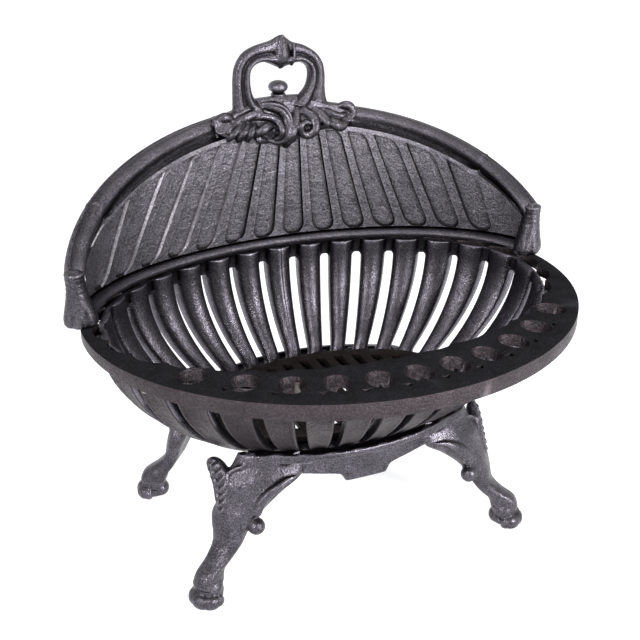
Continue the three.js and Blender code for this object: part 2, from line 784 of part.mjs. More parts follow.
// The crest hugs the hood's crown: over the bead, then down the inner face
function crestSection(share) {
  const angle = Math.asin((share * crestHalfWidth) / hoodCrownHalfWidth);
  const fade = Math.cos((share * Math.PI) / 2);
  const drop = crestDrop * mix(crestDropShares[0], crestDropShares[1], fade ** 2);
  const rise = crestSaddleThickness * mix(crestDropShares[0], crestDropShares[1], fade);
  const beadTop = archTopAt(angle);
  const beadMiddle = beadTop - archBeadRadius;
  const under = beadTop + seatGap;
  const clear = archBeadRadius + crestFit;
  const bandFoot = beadTop - archBandWidth;
  const half = clear * crestSaddleShare;
  return [
    archPoint(angle, half, under),
    archPoint(angle, half, under + rise),
    archPoint(angle, -half, under + rise),
    archPoint(angle, -clear - crestThickness / 2, under + rise / 2),
    archPoint(angle, -clear - crestThickness, beadMiddle),
    facePoint(angle, bandFoot, -crestFit - crestThickness),
    facePoint(angle, bandFoot - drop, -crestFit - crestThickness / 2),
    facePoint(angle, bandFoot - drop, -crestFit),
    facePoint(angle, bandFoot, -crestFit),
    archPoint(angle, -clear, beadMiddle + roundPoint(archBeadRadius, archBeadDegrees[0])[1]),
    archPoint(angle, -clear, beadMiddle + archBeadRadius / 2),
    archPoint(angle, -half, under),
  ];
}

function makeHandleLoop() {
  const foot = saddleTopHeight - crestSaddleThickness * handleSinkShare;
  const rise = handleTopHeight - handleBarRadius - foot;
  const waist = handlePathShares.map(([out, up]) => [out * handleHalfWidth, up]);
  const side = [[handleFootHalfWidth, 0], ...waist];
  const otherSide = side.map(([x, share]) => [-x, share]);
  const places = [...otherSide, [0, 1], ...side.reverse()];
  const path = new THREE.CatmullRomCurve3(
    places.map(([x, share]) => new THREE.Vector3(x, handleSetback, foot + share * rise)),
  );
  const section = new THREE.Shape();
  section.absarc(0, 0, handleBarRadius, 0, Math.PI * 2, false);
  const settings = { steps: 24, extrudePath: path, bevelEnabled: false, curveSegments: 5 };
  return new THREE.ExtrudeGeometry(section, settings);
}

function makeFinial() {
  const base = handleTopHeight - handleBarRadius * 2;
  const height = finialTopHeight - base;
  const bud = budShares.map(([out, rise]) => [out * finialRadius, rise * budDepth]);
  const tip = finialShares.map(([out, rise]) => [out * finialRadius, rise * height]);
  return turned([...bud, ...tip]).translate(0, handleSetback, base);
}

function makeScroll(side) {
  const ring = new THREE.TorusGeometry(scrollRadius - scrollThickness, scrollThickness, 8, 14);
  const scroll = cleaned(ring);
  scroll.rotateX(Math.PI / 2);
  const section = crestSection(scrollSpread / crestHalfWidth);
  const [, y] = section[5];
  const [, , z] = section[4];
  return scroll.translate(side * scrollSpread, y, z);
}

function makeHandleCrest() {
  const steps = 12;
  const sections = Array.from({ length: steps + 1 }, (_, i) => crestSection((2 * i) / steps - 1));
  const saddle = loft(sections);
  const hole = upright(
    knobShankRadius + boltClearance,
    archTopAt(0) - archBeadRadius,
    saddleTopHeight + knobHeight,
    10,
  ).translate(0, knobSetback, 0);
  const spot = upright(knobCollarRadius + boltClearance, saddleTopHeight, saddleTopHeight + knobHeight);
  spot.translate(0, knobSetback, 0);
  const whole = joined(saddle, makeHandleLoop(), makeFinial(), makeScroll(-1), makeScroll(1));
  return cutFrom(whole, hole, spot);
}

function makeKnob() {
  const seat = saddleTopHeight + seatGap;
  const ballHeight = (share) => seat + mix(knobCollarHeight, knobHeight, share);
  const profile = [
    [0, knobShankFoot],
    [knobShankRadius, knobShankFoot],
    [knobShankRadius, seat],
    [knobCollarRadius, seat],
    [knobCollarRadius, seat + knobCollarHeight],
    [knobCollarRadius * knobNeckShares[0], seat + knobCollarHeight * knobNeckShares[1]],
    ...knobBallShares.map(([out, rise]) => [knobRadius * out, ballHeight(rise)]),
  ];
  return turned(profile).translate(0, knobSetback, 0);
}

// Stand castings

const legAngle = -Math.PI * legAngleShare;

// Bolts through the basket's floor, halfway between its opening and its edge
function standBoltPlaces() {
  const angle = Math.PI * boltAngleShare;
  const x = ((floorOpeningHalfWidth + basketFootHalfWidth) / 2) * Math.cos(angle);
  const y = ((floorOpeningHalfDepth + basketFootHalfDepth) / 2) * Math.sin(angle);
  return [[-x, -y], [x, -y], [-x, y], [x, y]].map(([across, back]) => [across, back + basketFootSetback]);
}

// Leg rows: height, curl side, leaf side, back face and front face, as shares of the leg's sizes
const legRowShares = [
  [0, -0.4, 0.6, 0.63, 0.88],
  [0.036, -0.53, 0.8, 0.575, 0.96],
  [0.13, -0.57, 0.73, 0.52, 1],
  [0.2, -0.43, 0.57, 0.525, 0.93],
  [0.24, -0.37, 0.47, 0.44, 0.85],
  [0.31, -0.48, 0.38, 0.33, 0.63],
  [0.4, -0.62, 0.49, 0.25, 0.486],
  [0.48, -0.73, 0.65, 0.205, 0.45],
  [0.53, -0.8, 0.87, 0.165, 0.44],
  [0.63, -1, 0.67, 0.08, 0.425],
  [0.71, -1.2, 0.58, 0, 0.38],
  [0.79, -1.4, 0.63, -0.055, 0.33],
  [0.88, -1.7, 0.8, -0.09, 0.26],
  [1, -2, 0.6, -0.11, 0.185],
];
const legOutlineShares = [
  [0.14, 0],
  [0, 0.35],
  [0.04, 0.7],
  [0.3, 1],
  [0.7, 1],
  [0.96, 0.7],
  [1, 0.35],
  [0.86, 0],
];

// One leg in its own axes: X across the leg towards its leaf, Y outwards, Z up
function legSection([rise, curlSide, leafSide, back, front]) {
  return legOutlineShares.map(([across, out]) => {
    const x = mix(curlSide, leafSide, across) * legHalfWidth;
    const bend = (rise * x) ** 2 / (2 * legCurveRadius);
    return [x, mix(back, front, out) * legReach - bend, rise * legKneeHeight];
  });
}

function makeLeg() {
  const body = loft(legRowShares.map(legSection));
  const curl = new THREE.CylinderGeometry(curlRadius, curlRadius, curlThickness, 12);
  const leaf = ball(leafThickness / 2, leafWidth / 2, leafLength / 2, 10, 7);
  [[curl, curlPlaceShares], [leaf, leafPlaceShares]].forEach(([piece, [across, out, rise]]) => {
    piece.translate(across * legHalfWidth, out * legReach, rise * legKneeHeight);
  });
  return joined(body, curl, leaf);
}

// A leg is drawn for the left side, then mirrored to the right
function placedLeg(side) {
  const leg = makeLeg();
  const [x, y] = onEllipse(apronHalfWidth, apronHalfDepth, legAngle);
  leg.rotateZ(Math.PI / 2 - legAngle);
  leg.translate(-x, y, 0);
  return side < 0 ? leg : mirrored(leg, -1, 1);
}

function mirrored(geometry, alongX, alongY) {
  const copy = mergedPositions(geometry);
  copy.scale(alongX, alongY, 1);
  return flipped(copy);
}

// Lower edge of the apron: a stepped tab in the middle, then an arch to each leg
function apronFoot(x) {
  const across = Math.abs(x);
  if (across <= tabHalfWidth - tabStep) return tabFootHeight;
  if (across <= tabHalfWidth) return tabFootHeight + tabStep;
  const share = across / apronHalfWidth;
  const next = Math.max(apronEdgeShares.findIndex(([place]) => place > share), 1);
  const [fromPlace, fromDrop] = apronEdgeShares[next - 1];
  const [toPlace, toDrop] = apronEdgeShares[next];
  return apronTopHeight - apronDrop * mix(fromDrop, toDrop, (share - fromPlace) / (toPlace - fromPlace));
}

function apronSection(x, seatWidth) {
  const angle = -Math.acos(x / apronHalfWidth);
  const at = (depth, height) => {
    return [...onEllipse(apronHalfWidth - depth, apronHalfDepth - depth, angle), height];
  };
  const lipFoot = apronTopHeight - apronLipHeight;
  const seatTop = floorUndersideHeight - seatGap;
  const fade = Math.min(Math.abs(x) / (apronHalfWidth * Math.cos(legAngle)), 1) ** 3;
  const face = mix(apronSetback, apronEndSetback, fade);
  return [
    at(0, apronTopHeight),
    at(0, lipFoot),
    at(face, lipFoot - (face - apronEndSetback) / 2),
    at(face, apronFoot(x)),
    at(face + apronThickness, apronFoot(x)),
    at(face + apronThickness, seatTop - seatThickness),
    at(seatWidth, seatTop - seatThickness),
    at(seatWidth, seatTop),
    at(apronLipWidth, seatTop),
    at(apronLipWidth, apronTopHeight),
  ];
}

function makeApron(seatWidth) {
  const arch = apronEdgeShares.map(([share]) => share * apronHalfWidth).reverse();
  const corner = tabStep / 4;
  const tab = [tabHalfWidth, tabHalfWidth - corner, tabHalfWidth - tabStep, tabHalfWidth - tabStep - corner];
  const half = [...arch, ...tab];
  const stations = [...half.map((x) => -x), 0, ...half.reverse()];
  return loft(stations.map((x) => apronSection(x, seatWidth)));
}

// One casting with the seat for the basket's floor; bolt places in its own axes
function makeCasting(seatWidth, boltPlaces) {
  const body = joined(makeApron(seatWidth), placedLeg(1), placedLeg(-1));
  const holes = boltPlaces.map(([x, y]) => upright(
    standBoltRadius + boltClearance,
    floorUndersideHeight - seatThickness - cutOverrun,
    floorUndersideHeight + cutOverrun,
  ).translate(x, y, 0));
  return cutFrom(body, ...holes);
}

const makeStandFront = () => makeCasting(frontSeatWidth, standBoltPlaces().slice(0, 2));

// The rear casting is the same pattern turned round, with a seat that reaches further in
function makeStandRear() {
  const places = standBoltPlaces().slice(2).map(([x, y]) => [x, 2 * standSetback - y]);
  const seatWidth = frontSeatWidth + 2 * (standSetback - basketFootSetback);
  return mirrored(makeCasting(seatWidth, places), 1, -1).translate(0, 2 * standSetback, 0);
}

// Fasteners

function makeStandBolt() {
  const shankFoot = floorUndersideHeight - seatGap - seatThickness - seatGap - nutHeight - cutOverrun;
  return turned([
    [0, shankFoot],
    [standBoltRadius, shankFoot],
    [standBoltRadius, floorTop - standBoltHeadHeight],
    [standBoltHeadRadius, floorTop],
    [0, floorTop],
  ], 12);
}

function makeStandNut() {
  const top = floorUndersideHeight - seatGap - seatThickness - seatGap;
  const nut = upright(nutAcrossCorners / 2, top - nutHeight, top, 6);
  const radius = standBoltRadius + boltClearance / 2;
  const thread = upright(radius, top - nutHeight - cutOverrun, top + cutOverrun);
  return cutFrom(nut, thread);
}

function makeRimBolt() {
  const headTop = basketTopHeight - lugThickness - seatGap;
  const tip = rimUnderside + rimBoltBite;
  const head = upright(rimBoltHeadRadius, headTop - rimBoltHeadHeight, headTop, 6);
  return joined(head, upright(rimBoltRadius, headTop - joinOverlap, tip));
}

// The whole object

const ironLook = { color: 0x4b474c, roughness: 0.42, metalness: 0.85 };
const rimLook = { color: 0x1c1b1f, roughness: 0.62, metalness: 0.6 };
const grateLook = { color: 0x3a3536, roughness: 0.7, metalness: 0.7 };
const boltLook = { color: 0x5b4a42, roughness: 0.6, metalness: 0.7 };

const fireBasket = new THREE.Group();

function addPiece(name, geometry, look, x = 0, y = 0) {
  const mesh = new THREE.Mesh(geometry, new THREE.MeshStandardMaterial(look));
  mesh.name = name;
  mesh.position.set(x, y, 0);
  fireBasket.add(mesh);
}

addPiece('basket', makeBasket(), ironLook);
addPiece('rim_plate', makeRimPlate(), rimLook);
addPiece('bottom_grate', makeGrate(), grateLook);
addPiece('hood', makeHood(), ironLook);
addPiece('handle_crest', makeHandleCrest(), ironLook);
addPiece('handle_knob', makeKnob(), ironLook);
addPiece('stand_front', makeStandFront(), ironLook);
addPiece('stand_rear', makeStandRear(), ironLook);

const corners = ['front_left', 'front_right', 'rear_left', 'rear_right'];
standBoltPlaces().forEach(([x, y], i) => {
  addPiece(`stand_bolt_${corners[i]}`, makeStandBolt(), boltLook, x, y);
  addPiece(`stand_nut_${corners[i]}`, makeStandNut(), boltLook, x, y);
});

const ledgeSides = ['outer_right', 'outer_left', 'inner_right', 'inner_left'];
lugPlaces().forEach(([x, y], i) => {
  addPiece(`rim_bolt_${ledgeSides[i]}`, makeRimBolt(), boltLook, x, y);
});

// The basket's centre lies behind the centre of the outline, which is where the origin goes
fireBasket.position.y = (rimFrontReach - rimRearReach) / 2;

export default fireBasket;
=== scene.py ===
# %% [markdown]
# A fireplace fire basket in cast iron, seen from the front left and a little above.
# The CAD frame is loaded first, because every piece here sits on it and moves with its bodies.
# Lengths are in metres: a value that the maker thinks of in millimetres is written as 12 * MM.

# %% Load the frame
import math

import bmesh
import bpy
from mathutils import Matrix, Vector


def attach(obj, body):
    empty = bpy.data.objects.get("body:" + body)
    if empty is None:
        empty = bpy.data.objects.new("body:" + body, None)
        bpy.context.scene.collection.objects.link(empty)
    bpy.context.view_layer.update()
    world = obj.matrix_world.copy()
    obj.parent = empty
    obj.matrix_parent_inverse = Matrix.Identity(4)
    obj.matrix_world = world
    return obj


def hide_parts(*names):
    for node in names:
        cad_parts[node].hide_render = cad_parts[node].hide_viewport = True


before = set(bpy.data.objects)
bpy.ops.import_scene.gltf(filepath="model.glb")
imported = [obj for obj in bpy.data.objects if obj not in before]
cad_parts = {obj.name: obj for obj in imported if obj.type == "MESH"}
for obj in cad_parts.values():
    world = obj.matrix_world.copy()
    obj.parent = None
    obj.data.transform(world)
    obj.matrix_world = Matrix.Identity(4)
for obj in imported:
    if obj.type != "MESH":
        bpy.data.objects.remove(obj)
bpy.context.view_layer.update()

MM = 0.001
BASKET_Y = 28 * MM

# %% [markdown]
# The camera stands where the photographer stood. Its place and lens were found by fitting about
# forty points of the photograph, such as the feet, the ends of the ledge and the handle's tip.

# %% Camera
CAMERA_PLACE = Vector((-0.3967, -0.8713, 0.6842))
CAMERA_TARGET = Vector((-0.01274, 0.028, 0.23819))
camera = bpy.data.objects.new("camera", bpy.data.cameras.new("camera"))
camera.data.lens = 59.91
camera.data.sensor_width = 36
camera.location = CAMERA_PLACE
camera.rotation_euler = (CAMERA_TARGET - CAMERA_PLACE).to_track_quat("-Z", "Y").to_euler()
bpy.context.scene.collection.objects.link(camera)
bpy.context.scene.camera = camera
bpy.context.scene.view_settings.view_transform = "Standard"
print("camera is", round((CAMERA_TARGET - CAMERA_PLACE).length, 3), "m from its target")

# %% [markdown]
# Dark iron shows its form by what it reflects. Two soft lamps stand in front, the stronger
# on the right and one on the left, so each rounding shows two bright spots; a panel hangs overhead.
# Camera rays and mirror-like rays see a white room; the floor keeps the object's own shadow.


# %% Soft studio light
def soft_light(name, place, target, width, height, watts):
    lamp = bpy.data.lights.new(name, "AREA")
    lamp.shape = "RECTANGLE"
    lamp.size, lamp.size_y, lamp.energy = width, height, watts
    holder = bpy.data.objects.new(name, lamp)
    holder.location = place
    holder.rotation_euler = (Vector(target) - Vector(place)).to_track_quat("-Z", "Y").to_euler()
    bpy.context.scene.collection.objects.link(holder)


soft_light("key_light", (0.75, -1.5, 0.72), (0, 0, 0.25), 0.3, 0.3, 28)
soft_light("second_light", (-1.4, -1.0, 1.1), (0, 0, 0.25), 0.26, 0.26, 20)
soft_light("top_light", (0.3, -0.2, 1.6), (0, 0, 0.25), 0.4, 0.3, 5)


# %% White room and floor
def white_for_the_eye(tree):
    """1 for rays of the camera and for mirrored and transmitted ones, else 0"""
    path = tree.nodes.new("ShaderNodeLightPath")
    either = tree.nodes.new("ShaderNodeMath")
    either.operation = "MAXIMUM"
    tree.links.new(path.outputs["Is Camera Ray"], either.inputs[0])
    tree.links.new(path.outputs["Is Transmission Ray"], either.inputs[1])
    both = tree.nodes.new("ShaderNodeMath")
    both.operation = "MAXIMUM"
    tree.links.new(either.outputs[0], both.inputs[0])
    tree.links.new(path.outputs["Is Glossy Ray"], both.inputs[1])
    return both.outputs[0]


world = bpy.data.worlds.new("white_room")
bpy.context.scene.world = world
world.use_nodes = True
room = world.node_tree
room_light = room.nodes["Background"]
room_light.inputs["Color"].default_value = (0.34, 0.35, 0.38, 1)
eye_white = room.nodes.new("ShaderNodeBackground")
eye_white.inputs["Color"].default_value = (1, 1, 1, 1)
room_mix = room.nodes.new("ShaderNodeMixShader")
room.links.new(white_for_the_eye(room), room_mix.inputs[0])
room.links.new(room_light.outputs[0], room_mix.inputs[1])
room.links.new(eye_white.outputs[0], room_mix.inputs[2])
room.links.new(room_mix.outputs[0], room.nodes["World Output"].inputs["Surface"])

bpy.ops.object.select_all(action="DESELECT")
bpy.ops.mesh.primitive_plane_add(size=14)
floor = bpy.context.active_object
floor.name = "studio_floor"
floor_paint = bpy.data.materials.new("floor_paint")
floor_paint.use_nodes = True
paper = floor_paint.node_tree
paper.nodes["Principled BSDF"].inputs["Base Color"].default_value = (0.86, 0.86, 0.86, 1)
paper.nodes["Principled BSDF"].inputs["Roughness"].default_value = 0.9
glow = paper.nodes.new("ShaderNodeEmission")
glow.inputs["Strength"].default_value = 0.72
seen = paper.nodes.new("ShaderNodeMixShader")
bare = paper.nodes.new("ShaderNodeEmission")
bare.inputs["Strength"].default_value = 0
paper.links.new(white_for_the_eye(paper), seen.inputs[0])
paper.links.new(bare.outputs[0], seen.inputs[1])
paper.links.new(glow.outputs[0], seen.inputs[2])
lit = paper.nodes.new("ShaderNodeAddShader")
paper.links.new(paper.nodes["Principled BSDF"].outputs[0], lit.inputs[0])
paper.links.new(seen.outputs[0], lit.inputs[1])
paper.links.new(lit.outputs[0], paper.nodes["Material Output"].inputs["Surface"])
floor.data.materials.append(floor_paint)

# %% [markdown]
# Cast iron that has been polished with graphite is a dark metal with a slight violet cast. Sand
# from the mould leaves it pebbled: the tops of the grains take the polish and sparkle, and the pits
# between them stay sooty. That grain is noise on object coordinates, so it stays put from every side.
# Every hollow gets painted shade, and edges are made lighter, as wear from hands and brushes and as a painted
# highlight.


# %% Iron finishes
def iron_finish(name, polished, sooty, roughness, grain=1.5 * MM, relief=0.6, metal=1.0, edge_wear_and_highlight=0.75,
                gloss=0.5, depth=0.4):
    """Two colours: the polished tops of the grains and the sooty pits between them; painted shade in hollows
    and lighter edges, for wear and as painted highlight, are added
    """
    finish = bpy.data.materials.new(name)
    finish.use_nodes = True
    tree = finish.node_tree
    shader = tree.nodes["Principled BSDF"]
    shader.inputs["Metallic"].default_value = metal
    shader.inputs["Specular IOR Level"].default_value = gloss
    shader.inputs["IOR"].default_value = 1.5 if metal else 1.1
    place = tree.nodes.new("ShaderNodeTexCoord").outputs["Object"]

    def noise(size, detail, roughening=0.5):
        node = tree.nodes.new("ShaderNodeTexNoise")
        node.inputs["Scale"].default_value = 1 / size
        node.inputs["Detail"].default_value = detail
        node.inputs["Roughness"].default_value = roughening
        tree.links.new(place, node.inputs["Vector"])
        return node.outputs["Fac"]

    def ramp(value, low, high, from_value, to_value):
        node = tree.nodes.new("ShaderNodeMapRange")
        numbers = {"From Min": low, "From Max": high, "To Min": from_value, "To Max": to_value}
        for key, number in numbers.items():
            node.inputs[key].default_value = number
        tree.links.new(value, node.inputs["Value"])
        return node.outputs["Result"]

    def times(first, second):
        node = tree.nodes.new("ShaderNodeMath")
        node.operation = "MULTIPLY"
        tree.links.new(first, node.inputs[0])
        tree.links.new(second, node.inputs[1])
        return node.outputs[0]

    def mix_colours(share, first, second):
        node = tree.nodes.new("ShaderNodeMix")
        node.data_type = "RGBA"
        tree.links.new(share, node.inputs[0])
        for socket, value in ((node.inputs[6], first), (node.inputs[7], second)):
            if isinstance(value, tuple):
                socket.default_value = (*value, 1)
            else:
                tree.links.new(value, socket)
        return node.outputs[2]

    grains = noise(grain, 3, 0.6)
    patches = ramp(noise(22 * MM, 3, 0.6), 0.35, 0.65, 0.6, 1)
    tops = times(ramp(grains, 0.38, 0.62, depth, 1), patches)
    body = mix_colours(tops, sooty, polished)
    pointiness = tree.nodes.new("ShaderNodeNewGeometry").outputs["Pointiness"]
    # Where the surface is pointed it gets lighter: wear, and a painted highlight.
    worn_and_highlit_edge = tuple(3 * part + 0.02 for part in polished)
    body = mix_colours(ramp(pointiness, 0.52, 0.61, 0, edge_wear_and_highlight), body, worn_and_highlit_edge)
    # Where the surface is hollow it gets darker: painted shade.
    painted_hollow_shade = tuple(0.35 * part for part in sooty)
    body = mix_colours(ramp(pointiness, 0.492, 0.45, 0, 0.95), body, painted_hollow_shade)
    tree.links.new(body, shader.inputs["Base Color"])
    tree.links.new(ramp(tops, 0, 1, roughness + 0.22, roughness), shader.inputs["Roughness"])
    bump = tree.nodes.new("ShaderNodeBump")
    bump.inputs["Strength"].default_value = relief
    bump.inputs["Distance"].default_value = grain / 2
    lumps = noise(8 * MM, 2)
    height = tree.nodes.new("ShaderNodeMath")
    height.operation = "MULTIPLY_ADD"
    height.inputs[1].default_value = 1
    tree.links.new(lumps, height.inputs[0])
    tree.links.new(grains, height.inputs[2])
    tree.links.new(height.outputs[0], bump.inputs["Height"])
    tree.links.new(bump.outputs["Normal"], shader.inputs["Normal"])
    return finish


graphited_iron = iron_finish("graphited_iron", (0.14, 0.129, 0.152), (0.008, 0.0072, 0.0084), 0.24,
                             grain=1.6 * MM, relief=0.55, depth=0.3)
duller_iron = iron_finish("duller_iron", (0.085, 0.078, 0.092), (0.008, 0.0072, 0.0084), 0.26,
                          grain=1.6 * MM, relief=0.8, depth=0.2)
pebbled_iron = iron_finish("pebbled_iron", (0.44, 0.414, 0.468), (0.045, 0.041, 0.048), 0.27,
                           grain=1.8 * MM, relief=1, edge_wear_and_highlight=0.3, depth=0.2)
# A lighter copy of the iron: painted highlight on the flute walls that face the left lamp.
painted_highlight_iron = iron_finish("painted_highlight_iron", (0.4, 0.38, 0.42), (0.12, 0.11, 0.125), 0.38, grain=2 * MM)
browned_iron = iron_finish("browned_iron", (0.062, 0.051, 0.056), (0.013, 0.0105, 0.0118), 0.34,
                           grain=2 * MM, relief=1)
# A near-black, dull finish: painted dark reflection on the rim's up-facing top.
painted_dark_reflection_iron = iron_finish("painted_dark_reflection_iron", (0.024, 0.023, 0.026), (0.006, 0.0058, 0.0065), 0.6,
                             grain=1.6 * MM, relief=1, metal=0.0, edge_wear_and_highlight=0.2, gloss=0.05)
# A near-black copy of the iron: painted shade on the walls of the hood's flutes.
painted_shade_iron = iron_finish("painted_shade_iron", (0.02, 0.018, 0.02), (0.006, 0.0055, 0.006), 0.8,
                         metal=0.0, edge_wear_and_highlight=0, gloss=0.05)
burnt_iron = iron_finish("burnt_iron", (0.035, 0.028, 0.026), (0.01, 0.008, 0.008), 0.6)
bolt_steel = iron_finish("bolt_steel", (0.1, 0.088, 0.083), (0.03, 0.025, 0.023), 0.42)
print("finishes", [item.name for item in bpy.data.materials])

# %% [markdown]
# Most castings here are curved sheets: a bar pattern rolled up into a bowl, a fluted wall bent
# into a half oval. Such a piece starts as a flat grid, whose vertices are then laid out by rule,
# as a pattern maker would bend a drawn strip. The seam is merged and the faces turned outwards.


# %% Sheet helpers
def deselect_all():
    bpy.ops.object.select_all(action="DESELECT")


def flat_sheet(name, columns, rows):
    deselect_all()
    bpy.ops.mesh.primitive_grid_add(x_subdivisions=columns - 1, y_subdivisions=rows - 1, size=1)
    piece = bpy.context.active_object
    piece.name = piece.data.name = name
    return piece


def lay_out(piece, columns, rows, place):
    for vertex in piece.data.vertices:
        column = round((vertex.co.x + 0.5) * (columns - 1))
        row = round((vertex.co.y + 0.5) * (rows - 1))
        vertex.co = place(column, row)
    piece.data.update()


def in_edit_mode(piece, *steps):
    deselect_all()
    piece.select_set(True)
    bpy.context.view_layer.objects.active = piece
    bpy.ops.object.mode_set(mode="EDIT")
    bpy.ops.mesh.select_mode(type="VERT")
    bpy.ops.mesh.select_all(action="SELECT")
    for step in steps:
        step()
    bpy.ops.object.mode_set(mode="OBJECT")


def merge_seams():
    bpy.ops.mesh.remove_doubles(threshold=0.01 * MM)


def face_outwards():
    bpy.ops.mesh.normals_make_consistent(inside=False)


def close_ends():
    bpy.ops.mesh.select_all(action="DESELECT")
    bpy.ops.mesh.select_non_manifold(extend=False, use_wire=False, use_multi_face=False,
                                     use_non_contiguous=False, use_verts=False)
    bpy.ops.mesh.fill_holes(sides=0)
    bpy.ops.mesh.select_all(action="SELECT")


def shaped_sheet(name, columns, rows, place, *steps):
    """A sheet that is laid out by rule and closed on itself"""
    piece = flat_sheet(name, columns, rows)
    lay_out(piece, columns, rows, place)
    in_edit_mode(piece, merge_seams, *steps, face_outwards)
    return piece


def apply_modifier(piece, kind, **settings):
    deselect_all()
    piece.select_set(True)
    bpy.context.view_layer.objects.active = piece
    modifier = piece.modifiers.new(kind.lower(), kind)
    for key, value in settings.items():
        setattr(modifier, key, value)
    bpy.ops.object.modifier_apply(modifier=modifier.name)


def smooth(piece, degrees):
    deselect_all()
    piece.select_set(True)
    bpy.context.view_layer.objects.active = piece
    bpy.ops.object.shade_smooth_by_angle(angle=math.radians(degrees))


def join_to(piece, *others):
    deselect_all()
    for other in others:
        other.select_set(True)
    piece.select_set(True)
    bpy.context.view_layer.objects.active = piece
    bpy.ops.object.join()
    return piece


def round_edges(piece, width, segments):
    apply_modifier(piece, "BEVEL", width=width, segments=segments, limit_method="ANGLE",
                   angle_limit=math.radians(50))


def paint(piece, *finishes):
    for finish in finishes:
        piece.data.materials.append(finish)


def mix(first, second, share):
    return first + (second - first) * share


def within(value, low=0, high=1):
    return min(max(value, low), high)


def along(keys, place):
    """The value at this place on a line through keys of place and value"""
    for (near, low), (far, high) in zip(keys, keys[1:]):
        if place <= far:
            return mix(low, high, (place - near) / (far - near))
    return keys[-1][1]


def hand_over(piece, body, slot, *nodes):
    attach(piece, body)
    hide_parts(*nodes)
    print(piece.name, len(piece.data.polygons), "faces", [round(side / MM, 1) for side in piece.dimensions])


# %% Even steps round an oval
def oval_turns(half_width, half_depth, lengths):
    """Turns from the rear centre, at these lengths along the oval"""
    steps = 2000
    turn = 2 * math.pi / steps
    run = [0.0]
    for i in range(steps):
        middle = turn * (i + 0.5)
        step = turn * math.hypot(half_width * math.cos(middle), half_depth * math.sin(middle))
        run.append(run[-1] + step)
    turns = []
    for length in lengths:
        rounds, rest = divmod(length, run[-1])
        low, high = 0, steps
        while high - low > 1:
            middle = (low + high) // 2
            if run[middle] <= rest:
                low = middle
            else:
                high = middle
        turns.append(2 * math.pi * rounds + turn * (low + (rest - run[low]) / (run[low + 1] - run[low])))
    return turns


def oval_length(half_width, half_depth):
    steps = 2000
    turn = 2 * math.pi / steps
    middles = [turn * (i + 0.5) for i in range(steps)]
    return turn * sum(math.hypot(half_width * math.cos(t), half_depth * math.sin(t)) for t in middles)


def on_oval(half_width, half_depth, turn, height, setback=0.0):
    """A point on an oval round the bowl's axis, whose turn starts at the rear"""
    return Vector((half_width * math.sin(turn), half_depth * math.cos(turn) + setback + BASKET_Y, height))


# %% [markdown]
# The bowl is one casting of 32 upright bars. It is drawn flat: one strip holds every slot with its
# rounded ends, gets its wall and softened edges, and is then rolled up into the oval bowl.
# While it is rolled, each bar's inner side swells into a half round and the foot turns in as a floor.

# %% Bowl measures
SLOT_COUNT = 32
PITCH = 36 * MM
SLOT_HALF = 5.25 * MM
SLOT_FOOT, SLOT_TOP = 144.4 * MM, 248.4 * MM
WALL = 16 * MM
FOOT_Z, TOP_Z, LIP_Z = 142.6 * MM, 254.2 * MM, 264.6 * MM
MOUTH = (231.6 * MM, 151.6 * MM)
RIM_MOUTH = (232 * MM, 152 * MM)
FOOT_OVAL, TOP_OVAL, FOOT_SETBACK = (153, 95), (237, 162), 7
FLOOR_OVAL, FLOOR_REACH = (118, 55), 36 * MM
FLOOR_UNDERSIDE, FLOOR_TOP = 138 * MM, 144.6 * MM
BAR_CROWN = 12.3 * MM
TUCK = 6 * MM
mouth_step = oval_length(*RIM_MOUTH) / SLOT_COUNT
slot_turns = oval_turns(*RIM_MOUTH, [(i + 0.5) * mouth_step for i in range(SLOT_COUNT)])


def slot_turn(index):
    rounds, place = divmod(index, SLOT_COUNT)
    return slot_turns[place] + 2 * math.pi * rounds


def bowl_share(height):
    share = within((height - FOOT_Z) / (TOP_Z - FOOT_Z))
    return (1 - (1 - share) ** 1.87) ** (1 / 1.16)


def outer_oval(height):
    """Half width, half depth and setback of the bowl's outer face"""
    share = bowl_share(height)
    half_width, half_depth = (mix(foot, top, share) * MM for foot, top in zip(FOOT_OVAL, TOP_OVAL))
    return half_width, half_depth, mix(FOOT_SETBACK, 0, share) * MM


# %% Bowl strip, drawn flat
bar_offsets = [shift * MM for shift in (-18, -14.6, -11.8, -9.4, -7.6, -6.5)]
column_offsets = bar_offsets + [-SLOT_HALF, -SLOT_HALF / 3, SLOT_HALF / 3, SLOT_HALF]
column_offsets += [-shift for shift in reversed(bar_offsets[1:])]
end_shares = (0.13, 0.4, 0.7, 1)
slot_rows = [SLOT_FOOT + share * SLOT_HALF for share in end_shares]
inner_count = 9
first_full, last_full = slot_rows[-1], SLOT_TOP - SLOT_HALF
slot_rows += [mix(first_full, last_full, i / (inner_count + 1)) for i in range(1, inner_count + 1)]
slot_rows += [SLOT_TOP - share * SLOT_HALF for share in reversed(end_shares)]
floor_rows = [-FLOOR_REACH, -18 * MM, -4.6 * MM, 0, 1.2 * MM]
foot_rows = [FOOT_Z + step for step in floor_rows]
lip_rows = [SLOT_TOP + step * MM for step in (1.5, 4, 7.5, 11, 13.4, 15, 15.8)]
bowl_rows = foot_rows + slot_rows + lip_rows
bowl_columns = [index * PITCH + shift for index in range(SLOT_COUNT) for shift in column_offsets]
bowl_columns.append(SLOT_COUNT * PITCH + column_offsets[0])


def slot_half_at(height):
    """Half width of a slot, less in its rounded ends"""
    reach = min(height - SLOT_FOOT, SLOT_TOP - height) / SLOT_HALF
    return SLOT_HALF * math.sqrt(1 - (1 - reach) ** 2) if 0 < reach < 1 else SLOT_HALF


